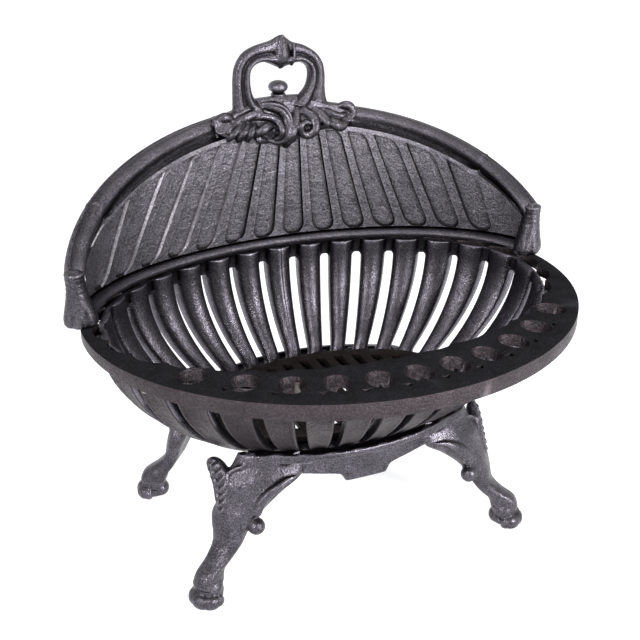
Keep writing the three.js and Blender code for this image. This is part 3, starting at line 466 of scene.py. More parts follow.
def strip_place(column, row):
    across, height = bowl_columns[column], bowl_rows[row]
    index = math.floor(across / PITCH + 0.5)
    shift = across - index * PITCH
    half = slot_half_at(height)
    if abs(shift) <= SLOT_HALF:
        shift *= half / SLOT_HALF
    else:
        share = (abs(shift) - SLOT_HALF) / (PITCH / 2 - SLOT_HALF)
        shift = math.copysign(mix(half, PITCH / 2, share), shift)
    return index * PITCH + shift, height, 0


basket = flat_sheet("basket_bowl", len(bowl_columns), len(bowl_rows))
lay_out(basket, len(bowl_columns), len(bowl_rows), strip_place)


# %% Slots out, wall in, edges softened
def in_a_slot(centre):
    shift = centre.x - math.floor(centre.x / PITCH + 0.5) * PITCH
    return abs(shift) < slot_half_at(centre.y) and slot_rows[0] < centre.y < slot_rows[-1]


strip = bmesh.new()
strip.from_mesh(basket.data)
in_slots = [face for face in strip.faces if in_a_slot(face.calc_center_median())]
bmesh.ops.delete(strip, geom=in_slots, context="FACES")
strip.to_mesh(basket.data)
strip.free()
apply_modifier(basket, "SOLIDIFY", thickness=WALL, offset=1, use_even_offset=False)
round_edges(basket, 1.5 * MM, 2)
print("strip", [round(side / MM, 1) for side in basket.dimensions])


# %% Roll the strip up into the bowl
def inner_oval(height):
    half_width, half_depth, setback = outer_oval(height)
    depth = mix(7, 10, bowl_share(height) ** 2) * MM
    over = within((height - SLOT_TOP) / (LIP_Z - SLOT_TOP))
    return half_width - depth, half_depth - depth, setback, over


def rolled(point):
    across, height, depth_share = point.x, point.y, within(point.z / WALL)
    index = math.floor(across / PITCH + 0.5)
    shift = across - index * PITCH
    half_width, half_depth, setback = outer_oval(height)
    centre = slot_turn(index)
    per_turn = math.hypot(half_width * math.cos(centre), half_depth * math.sin(centre))
    if abs(shift) <= SLOT_HALF:
        turn, bar = centre + shift / per_turn, 0
    else:
        bar = (abs(shift) - SLOT_HALF) / (PITCH / 2 - SLOT_HALF)
        neighbour = slot_turn(index + (1 if shift > 0 else -1))
        turn = mix(centre + math.copysign(SLOT_HALF, shift) / per_turn, (centre + neighbour) / 2, bar)
    crown = BAR_CROWN * (1 - 0.6 * math.sin(turn) ** 2) * math.sqrt(1 - (1 - min(bar, 1)) ** 2)
    crown *= within((height - FOOT_Z) / (16 * MM), 0.1)
    in_front = within(0.5 - 2 * math.cos(turn))
    tucked = in_front * within((height - SLOT_TOP) / (LIP_Z - SLOT_TOP))
    edge = (math.exp(-((abs(shift) - 7 * MM) / (0.9 * MM)) ** 2) - 2.2 * max(bar, 0) ** 0.7) * MM
    if height < FOOT_Z:
        inward = (FOOT_Z - height) / FLOOR_REACH
        outer, inner = ([mix(foot - less, floor_reach, inward) * MM
                         for foot, floor_reach in zip(FOOT_OVAL, FLOOR_OVAL)] for less in (3, 13))
        outer += [FOOT_SETBACK * MM, FLOOR_UNDERSIDE]
        inner += [FOOT_SETBACK * MM, FLOOR_TOP]
    else:
        rim_share = within((height - TOP_Z) / (2 * MM))
        outer = (mix(half_width + edge, MOUTH[0], rim_share), mix(half_depth + edge, MOUTH[1], rim_share),
                 setback, height)
        wide, deep, setback, over = inner_oval(height)
        roll = 1 - math.sqrt(1 - over ** 2)
        crown *= 1 - mix(0.5, 1, in_front) * roll
        lip = mix(4.5, 0.4, in_front) * MM
        inner = (mix(wide, MOUTH[0] - lip, roll) - crown, mix(deep, MOUTH[1] - lip, roll) - crown,
                 setback, max(height, FLOOR_TOP))
    wide, deep, setback, height = (mix(a, b, depth_share) for a, b in zip(outer, inner))
    return on_oval(wide, deep, turn, height - TUCK * tucked, setback)


for vertex in basket.data.vertices:
    vertex.co = rolled(vertex.co)
in_edit_mode(basket, merge_seams, face_outwards)
smooth(basket, 50)
paint(basket, graphited_iron, browned_iron)
for face in basket.data.polygons:
    outwards = Vector((face.center.x / 2, face.center.y - BASKET_Y, 0)).normalized()
    face.material_index = 1 if face.normal.dot(outwards) > 0.35 else 0
hand_over(basket, "basket_and_stand", "graphite_iron", "basket")

# %% [markdown]
# The rim is a flat plate with a wide ledge in front. Its outline, its scalloped mouth and its
# holes are drawn as rings on the plate's underside, filled between, and extruded to its thickness.
# A small bevel rounds every edge. The faces that point up are painted near black and dull, a painted dark
# reflection of the space above; the edges are bare iron.

# %% Rim measures
RIM_Z, RIM_TOP = 254.5 * MM, 265 * MM
RIM_HALF_WIDTH, RIM_FRONT, RIM_REAR = 250 * MM, 226 * MM, 170 * MM
HOLE_ARC, NIB_ARC = (232 * MM, 187 * MM), (240 * MM, 204 * MM)
HOLE_HALVES = (10.5 * MM, 13 * MM)
HOLE_COUNT, HOLE_START, HOLE_PITCH = 11, -181, 36.2
EDGE_DROP = 5 * MM
hole_shifts = [(HOLE_START + i * HOLE_PITCH) * MM for i in range(HOLE_COUNT)]
nib_shifts = [(HOLE_START + (i + 0.5) * HOLE_PITCH) * MM for i in range(HOLE_COUNT - 1)]


def ring(points):
    """One closed loop of edges on the plate's underside"""
    deselect_all()
    bpy.ops.mesh.primitive_circle_add(vertices=len(points), radius=1)
    loop = bpy.context.active_object
    for vertex, (x, y) in zip(loop.data.vertices, points):
        vertex.co = (x, y + BASKET_Y, RIM_Z)
    return loop


def ledge_place(x, half_width, half_depth):
    """The place and lean of a piercing on its arc along the ledge"""
    y = -half_depth * math.sqrt(1 - (x / half_width) ** 2)
    return x, y, math.atan2(y / half_depth ** 2, x / half_width ** 2) + math.pi / 2


def leaning_ring(outline, x, y, lean):
    return ring([(x + u * math.cos(lean) - v * math.sin(lean), y + u * math.sin(lean) + v * math.cos(lean))
                 for u, v in outline])


def round_trip(count):
    return [2 * math.pi * i / count for i in range(count)]


# %% Rim outline, mouth and holes
edge_line = []
for turn in round_trip(240):
    reach = RIM_FRONT if math.sin(turn) < 0 else RIM_REAR
    edge_line.append((RIM_HALF_WIDTH * math.cos(turn), reach * math.sin(turn)))
mouth_line = []
for index in range(SLOT_COUNT):
    for i in range(9):
        turn = mix(slot_turn(index), slot_turn(index + 1), i / 9)
        bulge = mix(3.4, 8.6, math.sin(turn) ** 4) * MM * math.sin(math.pi * i / 9) ** 0.7 if i else 0
        mouth_line.append(((RIM_MOUTH[0] + bulge) * math.sin(turn), (RIM_MOUTH[1] + bulge) * math.cos(turn)))
print("mouth drawn with", len(mouth_line), "points")
hole_outline = [(HOLE_HALVES[0] * math.cos(t), HOLE_HALVES[1] * math.sin(t)) for t in round_trip(36)]
nib_corners = ((-4.4, 3.2), (0, 2), (4.4, 3.2), (1.6, -1.4), (0, -3.4), (-1.6, -1.4))
nib_outline = [(u * MM, v * MM) for u, v in nib_corners]
rings = [ring(edge_line), ring(mouth_line)]
rings += [leaning_ring(hole_outline, *ledge_place(shift, *HOLE_ARC)) for shift in hole_shifts]
rings += [leaning_ring(nib_outline, *ledge_place(shift, *NIB_ARC)) for shift in nib_shifts]
rim = join_to(*rings)
rim.name = rim.data.name = "rim_ledge"


# %% Rim filled, thickened and softened
def filled(thickness, lift=0.0):
    """A step for edit mode: fill between the rings, thicken the plate and lift it"""
    def step():
        bpy.ops.mesh.fill(use_beauty=True)
        bpy.ops.mesh.extrude_region_move(TRANSFORM_OT_translate={"value": (0, 0, thickness)})
        bpy.ops.mesh.select_all(action="SELECT")
        bpy.ops.transform.translate(value=(0, 0, lift))
        bpy.ops.mesh.normals_make_consistent(inside=False)
    return step


in_edit_mode(rim, filled(RIM_TOP - RIM_Z))
hole_places = [ledge_place(shift, *HOLE_ARC) for shift in hole_shifts]
hole_centres = [Vector((x, y + BASKET_Y, RIM_TOP)) for x, y, _ in hole_places]
for vertex in rim.data.vertices:
    from_middle = math.hypot(vertex.co.x / RIM_HALF_WIDTH, (vertex.co.y - BASKET_Y) / RIM_FRONT)
    if vertex.co.z < RIM_Z + MM and from_middle > 0.995:
        vertex.co.z -= EDGE_DROP * max((BASKET_Y - vertex.co.y) / RIM_FRONT, 0)
    for centre in hole_centres:
        away = vertex.co - centre
        if abs(away.z) < MM and away.xy.length < 15 * MM:
            vertex.co += Vector((away.x, away.y, 0)) * 0.2
bpy.ops.object.transform_apply(location=True, rotation=True, scale=True)
round_edges(rim, 1.3 * MM, 3)
smooth(rim, 35)
paint(rim, painted_dark_reflection_iron, browned_iron)
# Faces that point up get the painted dark reflection; the others are bare browned iron.
for face in rim.data.polygons:
    face.material_index = 0 if face.normal.z > 0.8 else 1
hand_over(rim, "basket_and_stand", "black_iron", "rim_plate")

# %% [markdown]
# The grate is a loose oval plate with a row of long slots. Only a little of it shows, deep in the
# bowl. It is drawn and filled in the same way as the rim.

# %% Grate
GRATE_Z, GRATE_THICKNESS = 145.3 * MM, 8 * MM
GRATE_OVAL, SLOT_REACH = (144.4 * MM, 86.4 * MM), (132.4 * MM, 74.4 * MM)
GRATE_SETBACK, GRATE_PITCH, GRATE_SLOT_HALF = 7 * MM, 20 * MM, 4.5 * MM
grate_edge = [(GRATE_OVAL[0] * math.cos(t), GRATE_OVAL[1] * math.sin(t) + GRATE_SETBACK)
              for t in round_trip(96)]
slot_end = [(GRATE_SLOT_HALF * math.cos(t), GRATE_SLOT_HALF * math.sin(t)) for t in round_trip(12)[:7]]
grate_rings = [ring(grate_edge)]
for i in range(-5, 6):
    x = i * GRATE_PITCH
    near = max(abs(x) + GRATE_SLOT_HALF, 2 * GRATE_SLOT_HALF)
    half = SLOT_REACH[1] * math.sqrt(1 - (near / SLOT_REACH[0]) ** 2) - GRATE_SLOT_HALF
    outline = [(x + u, half + v + GRATE_SETBACK) for u, v in slot_end]
    outline += [(x - u, -half - v + GRATE_SETBACK) for u, v in slot_end]
    grate_rings.append(ring(outline))
grate = join_to(*grate_rings)
grate.name = grate.data.name = "grate_plate"
in_edit_mode(grate, filled(GRATE_THICKNESS, GRATE_Z - RIM_Z))
round_edges(grate, 1.4 * MM, 3)
smooth(grate, 35)
paint(grate, burnt_iron)
hand_over(grate, "grate", "grate_iron", "bottom_grate")

# %% [markdown]
# The hood is half an oval wall that leans back, with fourteen sunk flutes that fan in towards its
# crown. A rounded bead runs along its foot, and a cove and a roll along its arch.
# Its section is one closed loop of points, carried round from one end to the other.

# %% Hood measures
HOOD_FOOT = 265.3 * MM
WALL_FOOT = 275.8 * MM
FLUTE_PITCH, FLUTE_HALF, FLUTE_DEPTH = 36.4 * MM, 13 * MM, 2.8 * MM
FLUTE_FOOT = 277.4 * MM
BAND = 19 * MM
ROLL = 8.2 * MM
FOOT_LINE, CROWN_LINE, ROLL_LINE = (250 * MM, 149 * MM), (235 * MM, 125 * MM), (253 * MM, 141.5 * MM)
FLUTE_END_DROP = 5.5 * MM
quarter = oval_length(*FOOT_LINE) / 4
turn_table = oval_turns(*FOOT_LINE, [i * quarter / 400 for i in range(401)])


def turn_at(length):
    place = within(length / quarter) * 400
    low = min(int(place), 399)
    return mix(turn_table[low], turn_table[low + 1], place - low)


HOOD_REACH = 0.918 * quarter
END_TURN = turn_at(HOOD_REACH)


def arch_top(turn):
    return (296 + 129 * math.cos(turn)) * MM


def fanned(turn, height):
    fade = max(1 - (turn / END_TURN) ** 2, 0) ** 0.7
    rise = (height - WALL_FOOT) / (arch_top(0) - WALL_FOOT)
    return turn * (1 - 0.48 * fade * rise)


def wall_top(turn):
    height = arch_top(turn) - BAND
    for _ in range(12):
        height = max(arch_top(fanned(turn, height)) - BAND, WALL_FOOT + 3.5 * MM)
    return height


def face_point(turn, height, depth):
    rise = (height - WALL_FOOT) / (arch_top(0) - BAND - WALL_FOOT)
    wide, deep = (mix(foot, crown, rise) + depth for foot, crown in zip(FOOT_LINE, CROWN_LINE))
    return on_oval(wide, deep, turn, height)


def arch_point(turn, outward, height):
    return on_oval(ROLL_LINE[0] + outward, ROLL_LINE[1] + outward, turn, height)


def foot_point(turn, outward, rise):
    return on_oval(FOOT_LINE[0] + outward, FOOT_LINE[1] + outward, turn, HOOD_FOOT + rise)


# %% Hood columns and rows
EDGE = 0.1
flute_columns = (-1, -1 + EDGE, -0.66, -0.33, 0, 0.33, 0.66, 1 - EDGE, 1)
half_columns = [("rib", 0, 0)]
for index in range(7):
    half_columns += [("flute", index, share) for share in flute_columns]
    half_columns += [("rib", index, share) for share in (0.33, 0.67)]
plain_start = 7 * FLUTE_PITCH
half_columns = half_columns[:-2]
half_columns += [("plain", 0, mix(plain_start - 4 * MM, HOOD_REACH, i / 8)) for i in range(9)]
hood_columns = [(-1, item) for item in reversed(half_columns[1:])] + [(1, item) for item in half_columns]
foot_steps = (0, 0.05, 1.3, 3.2, 6, 9.2, 12.4)
top_steps = (14, 10, 6.5, 3.5, 1.25, 0)
middle_steps = [i / 9 for i in range(1, 9)]


def flute_half(low, high, outer_side):
    """Half width of a flute, less in its round foot and its round outer top corner"""
    half = FLUTE_HALF
    foot = low + 0.9 * MM
    if foot < FLUTE_HALF:
        half = math.sqrt(FLUTE_HALF ** 2 - (FLUTE_HALF - foot) ** 2)
    corner = 10 * MM
    if outer_side and high < corner:
        half = min(half, FLUTE_HALF - corner + math.sqrt(corner ** 2 - (corner - high) ** 2))
    return half


def wall_turn(column, low, high):
    """Turn of this column, for a height above the flute's foot and below its top"""
    kind, index, share = column
    if kind == "plain":
        return turn_at(share)
    centre = (index + 0.5) * FLUTE_PITCH
    if kind == "flute":
        return turn_at(centre + share * flute_half(low, high, share > 0))
    if index == 0 and share == 0:
        return 0
    near = centre + flute_half(low, high, True)
    far = centre + FLUTE_PITCH - flute_half(low, high, False)
    return turn_at(mix(near, far, share))


def wall_points(side, column):
    """The front face of the hood's wall, from its foot up to the band"""
    kind, index, share = column
    centre = turn_at((index + 0.5) * FLUTE_PITCH) if kind != "plain" else wall_turn(column, 1, 1)
    top = wall_top(centre) - FLUTE_END_DROP
    length = max(top - FLUTE_FOOT, 4 * MM)
    lows = [step * MM for step in foot_steps]
    lows += [mix(lows[-1], length - top_steps[0] * MM, middle) for middle in middle_steps]
    steps = [(low, length - low) for low in lows]
    steps += [(length - step * MM, step * MM) for step in top_steps]
    points = []
    sunk = kind == "flute" and abs(share) <= 1 - EDGE + 0.01
    for number, (low, high) in enumerate(steps):
        low = within(low, 0, length)
        turn = wall_turn(column, low, high)
        here = wall_top(turn) - FLUTE_END_DROP
        height = mix(FLUTE_FOOT, max(here, FLUTE_FOOT + 2 * MM), low / length)
        depth = FLUTE_DEPTH if sunk and 1 < number < len(steps) - 1 else 0
        points.append(face_point(side * fanned(turn, height), height, depth))
    return points


def on_circle(radius, degrees):
    return radius * math.cos(math.radians(degrees)), radius * math.sin(math.radians(degrees))


def hood_section(side, column):
    foot_turn = side * wall_turn(column, 1, 60 * MM)
    centre = wall_turn(column, 60 * MM, 60 * MM)
    top = wall_top(centre)
    turn = side * fanned(centre, top)
    swell = math.sin(foot_turn) ** 2
    bead = []
    for degrees in (262, 235, 210, 185, 160, 135, 110, 85):
        outward, rise = on_circle(5 * MM, degrees)
        bead.append((outward * (1 + 0.7 * swell) - (1.5 + 4 * swell) * MM, rise + 5.05 * MM))
    bead.append((3.2 * MM, 10.2 * MM))
    front = [foot_point(foot_turn, outward, rise) for outward, rise in bead]
    wall = wall_points(side, column)
    band_top = face_point(turn, max(top, wall[-1].z + 0.5 * MM), 0)
    roll_z = max(arch_top(turn) - ROLL, band_top.z + ROLL)
    settle = -3.2 * MM * (turn / END_TURN) ** 4

    def on_roll(degrees):
        outward, rise = on_circle(ROLL, degrees)
        return arch_point(turn, settle + outward, roll_z + rise)

    sag_line = Vector((math.sin(turn), math.cos(turn), -0.6))
    cove = [band_top.lerp(on_roll(205), share) + sag_line * sag * MM
            for share, sag in ((0, 0), (0.15, 1.5), (0.4, 2.6), (0.7, 2.3), (0.92, 0.9))]
    roll = [on_roll(degrees) for degrees in (205, 180, 155, 130, 105, 80, 60, 45)]
    back = [arch_point(turn, outward * MM, roll_z + rise)
            for outward, rise in ((7.6, ROLL - 1.2 * MM), (8.4, ROLL - 2.4 * MM), (8.4, -2 * MM))]
    low = []
    for share in (0.86, 0.66, 0.45, 0.22, 0.05):
        height = mix(WALL_FOOT, top, share)
        low.append(face_point(side * fanned(centre, height), height, 9 * MM))
    heel = [foot_point(foot_turn, outward * MM, rise * MM)
            for outward, rise in ((11, 8), (11.3, 4), (9.5, 0.8), (8, 0))]
    return front + wall + cove + roll + back + low + heel


# %% Hood wall
sections = [hood_section(side, item) for side, item in hood_columns]
section_count = len(sections[0])
hood = shaped_sheet("hood_wall", len(sections), section_count + 1,
                    lambda column, row: sections[column][row % section_count], close_ends)
smooth(hood, 38)

# %% Painted shade and painted highlight on the walls of the flutes
MEAN_LINE = (240, 134)
paint(hood, duller_iron, pebbled_iron, painted_shade_iron, painted_highlight_iron)
for face in hood.data.polygons:
    x, y, z = face.center
    turn = math.atan2(x / MEAN_LINE[0], (y - BASKET_Y) / MEAN_LINE[1])
    straight_out = Vector((math.sin(turn) / MEAN_LINE[0], math.cos(turn) / MEAN_LINE[1], 0)).normalized()
    straight_out = (straight_out + Vector((0, 0, 0.17))).normalized()
    # Flute walls get painted shade; on the left, walls that face left get painted highlight instead.
    if FLUTE_FOOT < z < arch_top(turn) - BAND:
        is_wall = abs(face.normal.dot(straight_out)) < 0.8
        face.material_index = 1 if not is_wall else 3 if x < -45 * MM and face.normal.x < 0 else 2
# The count is of flute-wall faces with painted shade.
print("painted shade faces", sum(face.material_index == 2 for face in hood.data.polygons))


# %% [markdown]
# The ornament is made of tapered bars: scrolls, toes, leaf ribs and the handle. Each is a short
# strip wrapped round a spine that runs through a few points, thicker or thinner on the way.


# %% Bars along a spine
def flow(keys, count):
    """Points on a smooth line through the key points, radii and all"""
    keys = [tuple(key) for key in keys]
    padded = [keys[0], *keys, keys[-1]]
    points = []
    for i in range(count):
        place = i / (count - 1) * (len(keys) - 1)
        low = min(int(place), len(keys) - 2)
        t = place - low
        points.append(tuple(0.5 * (2 * b + (c - a) * t + (2 * a - 5 * b + 4 * c - d) * t * t
                                   + (3 * b - a - 3 * c + d) * t ** 3)
                            for a, b, c, d in zip(*padded[low:low + 4])))
    return points


def bar(name, keys, up, count=24, sides=14):
    """A tapered bar: keys are x, y, z, half width and half height, in metres"""
    line = flow(keys, count)
    spine = [Vector(key[:3]) for key in line]
    up = Vector(up)

    def place(column, row):
        ahead = spine[min(column + 1, count - 1)] - spine[max(column - 1, 0)]
        side = ahead.cross(up).normalized()
        top = side.cross(ahead).normalized()
        turn = 2 * math.pi * row / sides
        across, high = line[column][3:5]
        end = math.sqrt(max(1 - (2 * column / (count - 1) - 1) ** 20, 0.04))
        return spine[column] + (side * across * math.cos(turn) + top * high * math.sin(turn)) * end

    return shaped_sheet(name, count, sides + 1, place, close_ends)


def pebble(name, centre, half_sizes, lean=0.0, turn=0.0):
    """A smooth lump, leaning outwards and turned about the upright axis"""
    deselect_all()
    bpy.ops.mesh.primitive_uv_sphere_add(segments=20, ring_count=12, radius=1)
    piece = bpy.context.active_object
    piece.name = piece.data.name = name
    place = Matrix.Translation(centre) @ Matrix.Rotation(turn, 4, "Z") @ Matrix.Rotation(lean, 4, "X")
    piece.data.transform(place @ Matrix.Diagonal((*half_sizes, 1)))
    return piece


def cast_in_one(name, parts, voxel, softness):
    """Parts that run into each other are melted into one skin"""
    whole = join_to(*parts)
    whole.name = whole.data.name = name
    apply_modifier(whole, "REMESH", mode="VOXEL", voxel_size=voxel)
    apply_modifier(whole, "SMOOTH", factor=0.5, iterations=softness)
    smooth(whole, 60)
    return whole


# %% [markdown]
# Two lion paws close the arch at its ends. Each is a short sleeve with wrinkles at the wrist,
# which spreads into toes on the rim. One is laid out by rule and mirrored, and both join the hood.

# %% Hood paws
PAW_TURN = math.radians(17)
PAW_X, PAW_Y, PAW_TOP, PAW_HEIGHT = 248.4 * MM, 52.5 * MM, 320 * MM, 54 * MM
# Height, half width and half depth, from the wrist down to the toes
PAW_ROWS = [(320, 5, 5.4), (318.6, 6.6, 7), (317, 9.4, 9.8), (310, 9.2, 9.6), (301, 9.8, 10.2),
            (291, 11.6, 11.4), (281, 14.2, 12.8), (273.5, 16, 13.8), (268.5, 16.4, 14), (265.6, 15, 13)]


def hood_paw(side):
    rows = flow([[value * MM for value in row] for row in reversed(PAW_ROWS)], 50)
    forward = Vector((side * math.sin(PAW_TURN), -math.cos(PAW_TURN), 0))
    aside = Vector((side * math.cos(PAW_TURN), math.sin(PAW_TURN), 0))

    def place(column, row):
        height, half_side, half_forward = rows[row]
        turn = 2 * math.pi * column / 64
        front = max(math.sin(turn), 0) ** 0.5
        low = within((286 * MM - height) / (9 * MM))
        toes = 1 + 0.2 * front * low * (abs(math.cos(3 * (turn - math.pi / 2))) ** 0.5 - 0.85)
        wrinkle = 1 + 0.025 * math.sin((height / MM - 301) * 1.3) * (1 if 296 < height / MM < 315 else 0)
        reach = toes * wrinkle
        settle = 2.8 * MM * within((PAW_TOP - height) / PAW_HEIGHT)
        centre = Vector((side * (PAW_X - settle), PAW_Y, height))
        return (centre + aside * half_side * reach * math.cos(turn)
                + forward * half_forward * reach * math.sin(turn))

    piece = shaped_sheet("hood_paw", 65, 50, place, close_ends)
    smooth(piece, 60)
    paint(piece, graphited_iron)
    return piece


hood = join_to(hood, hood_paw(-1), hood_paw(1))
hand_over(hood, "hood", "graphite_iron", "hood")

# %% [markdown]
# The crest is a saddle of leaves and two scrolls that hugs the crown of the arch. The handle's loop
# grows out of it, with a flat band outside, a bead inside, and a pointed bud at its top.
# All of that is one casting, so the pieces are melted together and smoothed a little.


# %% Crest surface
def crest_point(x, height, out):
    """A place on the front of the crest, x and height in millimetres, a little out from the hood"""
    turn = math.asin(within(x / 243, -1))
    on_face = face_point(turn, min(height, 408) * MM, 0).y
    on_roll = arch_point(turn, -ROLL, 0).y
    share = within((height - 404) / 12)
    share = share * share * (3 - 2 * share)
    return (x * MM, mix(on_face, on_roll, share) - out * MM, height * MM)


def crest_bar(name, keys, **settings):
    """A bar on the crest: keys are x, height, out, half width and half height in millimetres"""
    places = [(*crest_point(x, height, out), wide * MM, high * MM) for x, height, out, wide, high in keys]
    return bar(name, places, up=(0, -1, 0.25), **settings)


# %% Crest saddle, leaves and scrolls
# How far the crest's plate comes down below the arch's top, at a distance from its middle
CREST_DROPS = [(0, 42), (8, 39), (15, 34), (22, 29), (34, 28), (42, 24), (56, 23), (64, 20), (70, 15),
               (78, 9)]


def saddle_section(x):
    top = arch_top(math.asin(x / 250)) / MM
    rise = 2.4 + 8.4 / (1 + (abs(x) / 43) ** 10)
    drop = along(CREST_DROPS, abs(x))
    shape = [(-drop, 0.6), (-drop, 2.4), (-drop * 0.6, 4.4), (-15, 5), (-6, 5), (rise * 0.5, 3.6), (rise, -1),
             (rise, -8), (0.4, -10), (0.4, -4), (-1.5, 0.6), (-16, 0.6)]
    return [Vector(crest_point(x, top + up, out)) for up, out in shape]


saddle_rows = [saddle_section(x) for x in [mix(-77, 77, i / 44) for i in range(45)]]
saddle = shaped_sheet("saddle", 45, 13, lambda column, row: saddle_rows[column][row % 12], close_ends)

# Every stroke of the ornament: x, height, how far out, half width and half height, in millimetres
CREST_STROKES = {
    "stem": [(17, 424, 2.2, 4.2, 3.4), (13, 411, 4.7, 4.9, 4.5), (8, 399, 5.7, 5, 4.7),
        (3.5, 390, 4.7, 4.6, 4.5), (1.5, 382, 1.7, 2.2, 2.2)],
    "left_c": [(-27, 429, 1.2, 2.5, 2.2), (-12, 427.5, 4.2, 5, 4), (-2, 423, 5.6, 5.5, 4.5),
        (3.6, 413, 6.2, 5.6, 4.5), (2.3, 400, 5.8, 5.5, 4.5), (-3.5, 393, 5.2, 5.2, 4.5),
        (-10.5, 391.5, 4.2, 4.2, 3.8), (-17, 393, 2.2, 2, 2.2)],
    "left_c_edge": [(-24, 431, 3.2, 1.2, 1.1), (-10, 430, 7.2, 1.8, 1.8), (1, 425, 9.2, 1.9, 1.9),
        (7, 413.5, 9.6, 1.9, 1.9), (5.6, 399, 9.2, 1.8, 1.8), (-1.5, 390.5, 8.2, 1.5, 1.6)],
    "left_ring": [(-38, 416, 4.2, 2, 1.8), (-29.5, 418.5, 7.2, 3, 2.7), (-18.5, 418, 8.6, 3.8, 3.1),
        (-9, 413.5, 8.8, 4, 3.4), (-5.5, 405, 8.6, 3.9, 3.4), (-7.5, 397.5, 7.6, 3.5, 3.1),
        (-13, 394.5, 5.2, 2, 2)],
    "left_eye": [(-35, 400, 2.2, 2, 2.2), (-27.5, 405.5, 6.2, 5.2, 4), (-20.5, 408.5, 7.2, 5, 3.8),
        (-13.5, 407, 4.2, 2, 2.2)],
    "left_tail": [(-60, 409, 2.2, 2, 2.2), (-51, 416, 5.2, 3.8, 3.4), (-43, 419, 6.6, 4.5, 3.6),
        (-34, 421.5, 6.6, 4.5, 3.6), (-22, 422.5, 5.2, 3.2, 2.9)],
    "left_leaf_a": [(-45, 414, 3.2, 3, 3.4), (-53, 409, 4.6, 4.2, 4.5), (-60, 403, 3.2, 3.8, 3.8),
        (-64, 397, 0.7, 1.8, 1.8)],
    "left_leaf_b": [(-38, 414, 3.2, 3, 3.4), (-45.5, 407, 5.2, 4.4, 4.7), (-51, 400.5, 3.6, 3.9, 4),
        (-53, 395, 0.7, 1.8, 1.8)],
    "left_leaf_c": [(-33, 411, 3.2, 3, 3.4), (-38.5, 405, 5.2, 4.2, 4.7), (-42, 399, 3.6, 4, 4),
        (-40, 394, 0.7, 2, 2)],
    "left_leaf_d": [(-27, 399, 3.2, 2.5, 2.7), (-30, 396, 4.2, 4, 3.8), (-24, 394, 3.2, 3.8, 3.4),
        (-18, 391, 1.2, 2, 2.2)],
    "right_volute": [(18, 421, 3.2, 3.8, 3.4), (26, 418, 5.2, 5, 4.3), (33.5, 411, 5.8, 5.2, 4.5),
        (33, 401, 5.6, 5, 4.5), (26, 395.5, 5.2, 4.8, 4.3), (18.5, 398.5, 5.2, 4, 3.6),
        (17.5, 406, 5.6, 3.2, 3.1), (23, 409, 6.6, 3, 2.9), (29, 407.5, 6.2, 1.8, 2)],
    "right_lobe": [(33, 421, 2.2, 3.2, 3.4), (41, 415, 5.2, 5.5, 4.9), (46, 407, 5.2, 5.2, 4.7),
        (41, 400, 2.2, 2.2, 2.5)],
    "right_edge": [(42, 420, 2.2, 2, 2.2), (50, 417, 6.8, 2.8, 2.5), (58, 413.5, 7.6, 3, 2.5),
        (66, 412.5, 6.2, 2.8, 2.2), (73, 415, 2.2, 1.5, 1.6)],
    "right_leaf": [(48, 411, 2.2, 3.8, 3.4), (55, 405, 4.6, 6.2, 4.7), (62, 402.5, 4.2, 6.2, 4.5),
        (69, 405, 2.2, 3.2, 2.9)],
    "left_curl": [(-57, 412, 2, 2, 2), (-59, 419, 2.6, 4.2, 4), (-65, 421.5, 2.4, 5.2, 4.6),
        (-72, 418.5, 1, 4.2, 3.6), (-79, 414, 0, 1.8, 2)],
    "right_curl": [(62, 421, 1, 2, 2.4), (68, 422.5, 2.6, 4.2, 4), (75, 420.5, 2.8, 4.8, 4.4),
        (78, 412.5, 2.6, 3.8, 3.4), (72, 408.5, 1.6, 1.8, 2)],
}
strokes = [crest_bar(name, keys, count=60 if len(keys) > 6 else 30) for name, keys in CREST_STROKES.items()]
print("crest strokes", len(strokes))

# %% Handle loop and bud
# The loop's outer and inner edge, x and height each, from the left foot over the tip to the right
LOOP = [(-53.5, 416, -17, 428), (-53.2, 423, -25, 432), (-52.9, 432.5, -30, 438.5),
        (-52.5, 444.6, -32.7, 448), (-51.9, 457.8, -33.3, 458.3), (-49.2, 470.7, -31.6, 466.3),
        (-41.2, 482.6, -26.1, 470.9), (-28.2, 489.3, -18.4, 472.2), (-11.7, 493.4, -10.3, 469.2),
        (-2.6, 497.6, -4.9, 466.6), (1.6, 498.6, -0.8, 465.5), (6.4, 496, 5.2, 466),
        (13.1, 491, 12.3, 468.2), (26.4, 486.7, 20.7, 469.3), (39.7, 478.3, 27.4, 465.8),
        (47.1, 467.5, 30.2, 459.9), (49.5, 455, 30.1, 453), (49.7, 442.5, 27.5, 444.5),
        (50.7, 433, 22, 438), (53.6, 423, 15, 432), (54.5, 416, 8, 428)]
# A flat band, a groove and a round bead in front, and a plain back: share of the bar, how far out
LOOP_SECTION = [(0, 0), (0.03, 3.4), (0.12, 5.6), (0.26, 6.4), (0.4, 6.2), (0.46, 4.6), (0.53, 4.2),
                (0.6, 7.2), (0.69, 9.4), (0.79, 9.4), (0.9, 6.8), (0.97, 3), (1, 0), (0.95, -4), (0.8, -6.4),
                (0.5, -7), (0.2, -6.4), (0.05, -4)]
HANDLE_Y = 163 * MM


def loop_place(column, row):
    outer_x, outer_z, inner_x, inner_z = loop_line[column]
    share, out = LOOP_SECTION[row % len(LOOP_SECTION)]
    return Vector((mix(outer_x, inner_x, share) * MM, HANDLE_Y - out * MM, mix(outer_z, inner_z, share) * MM))


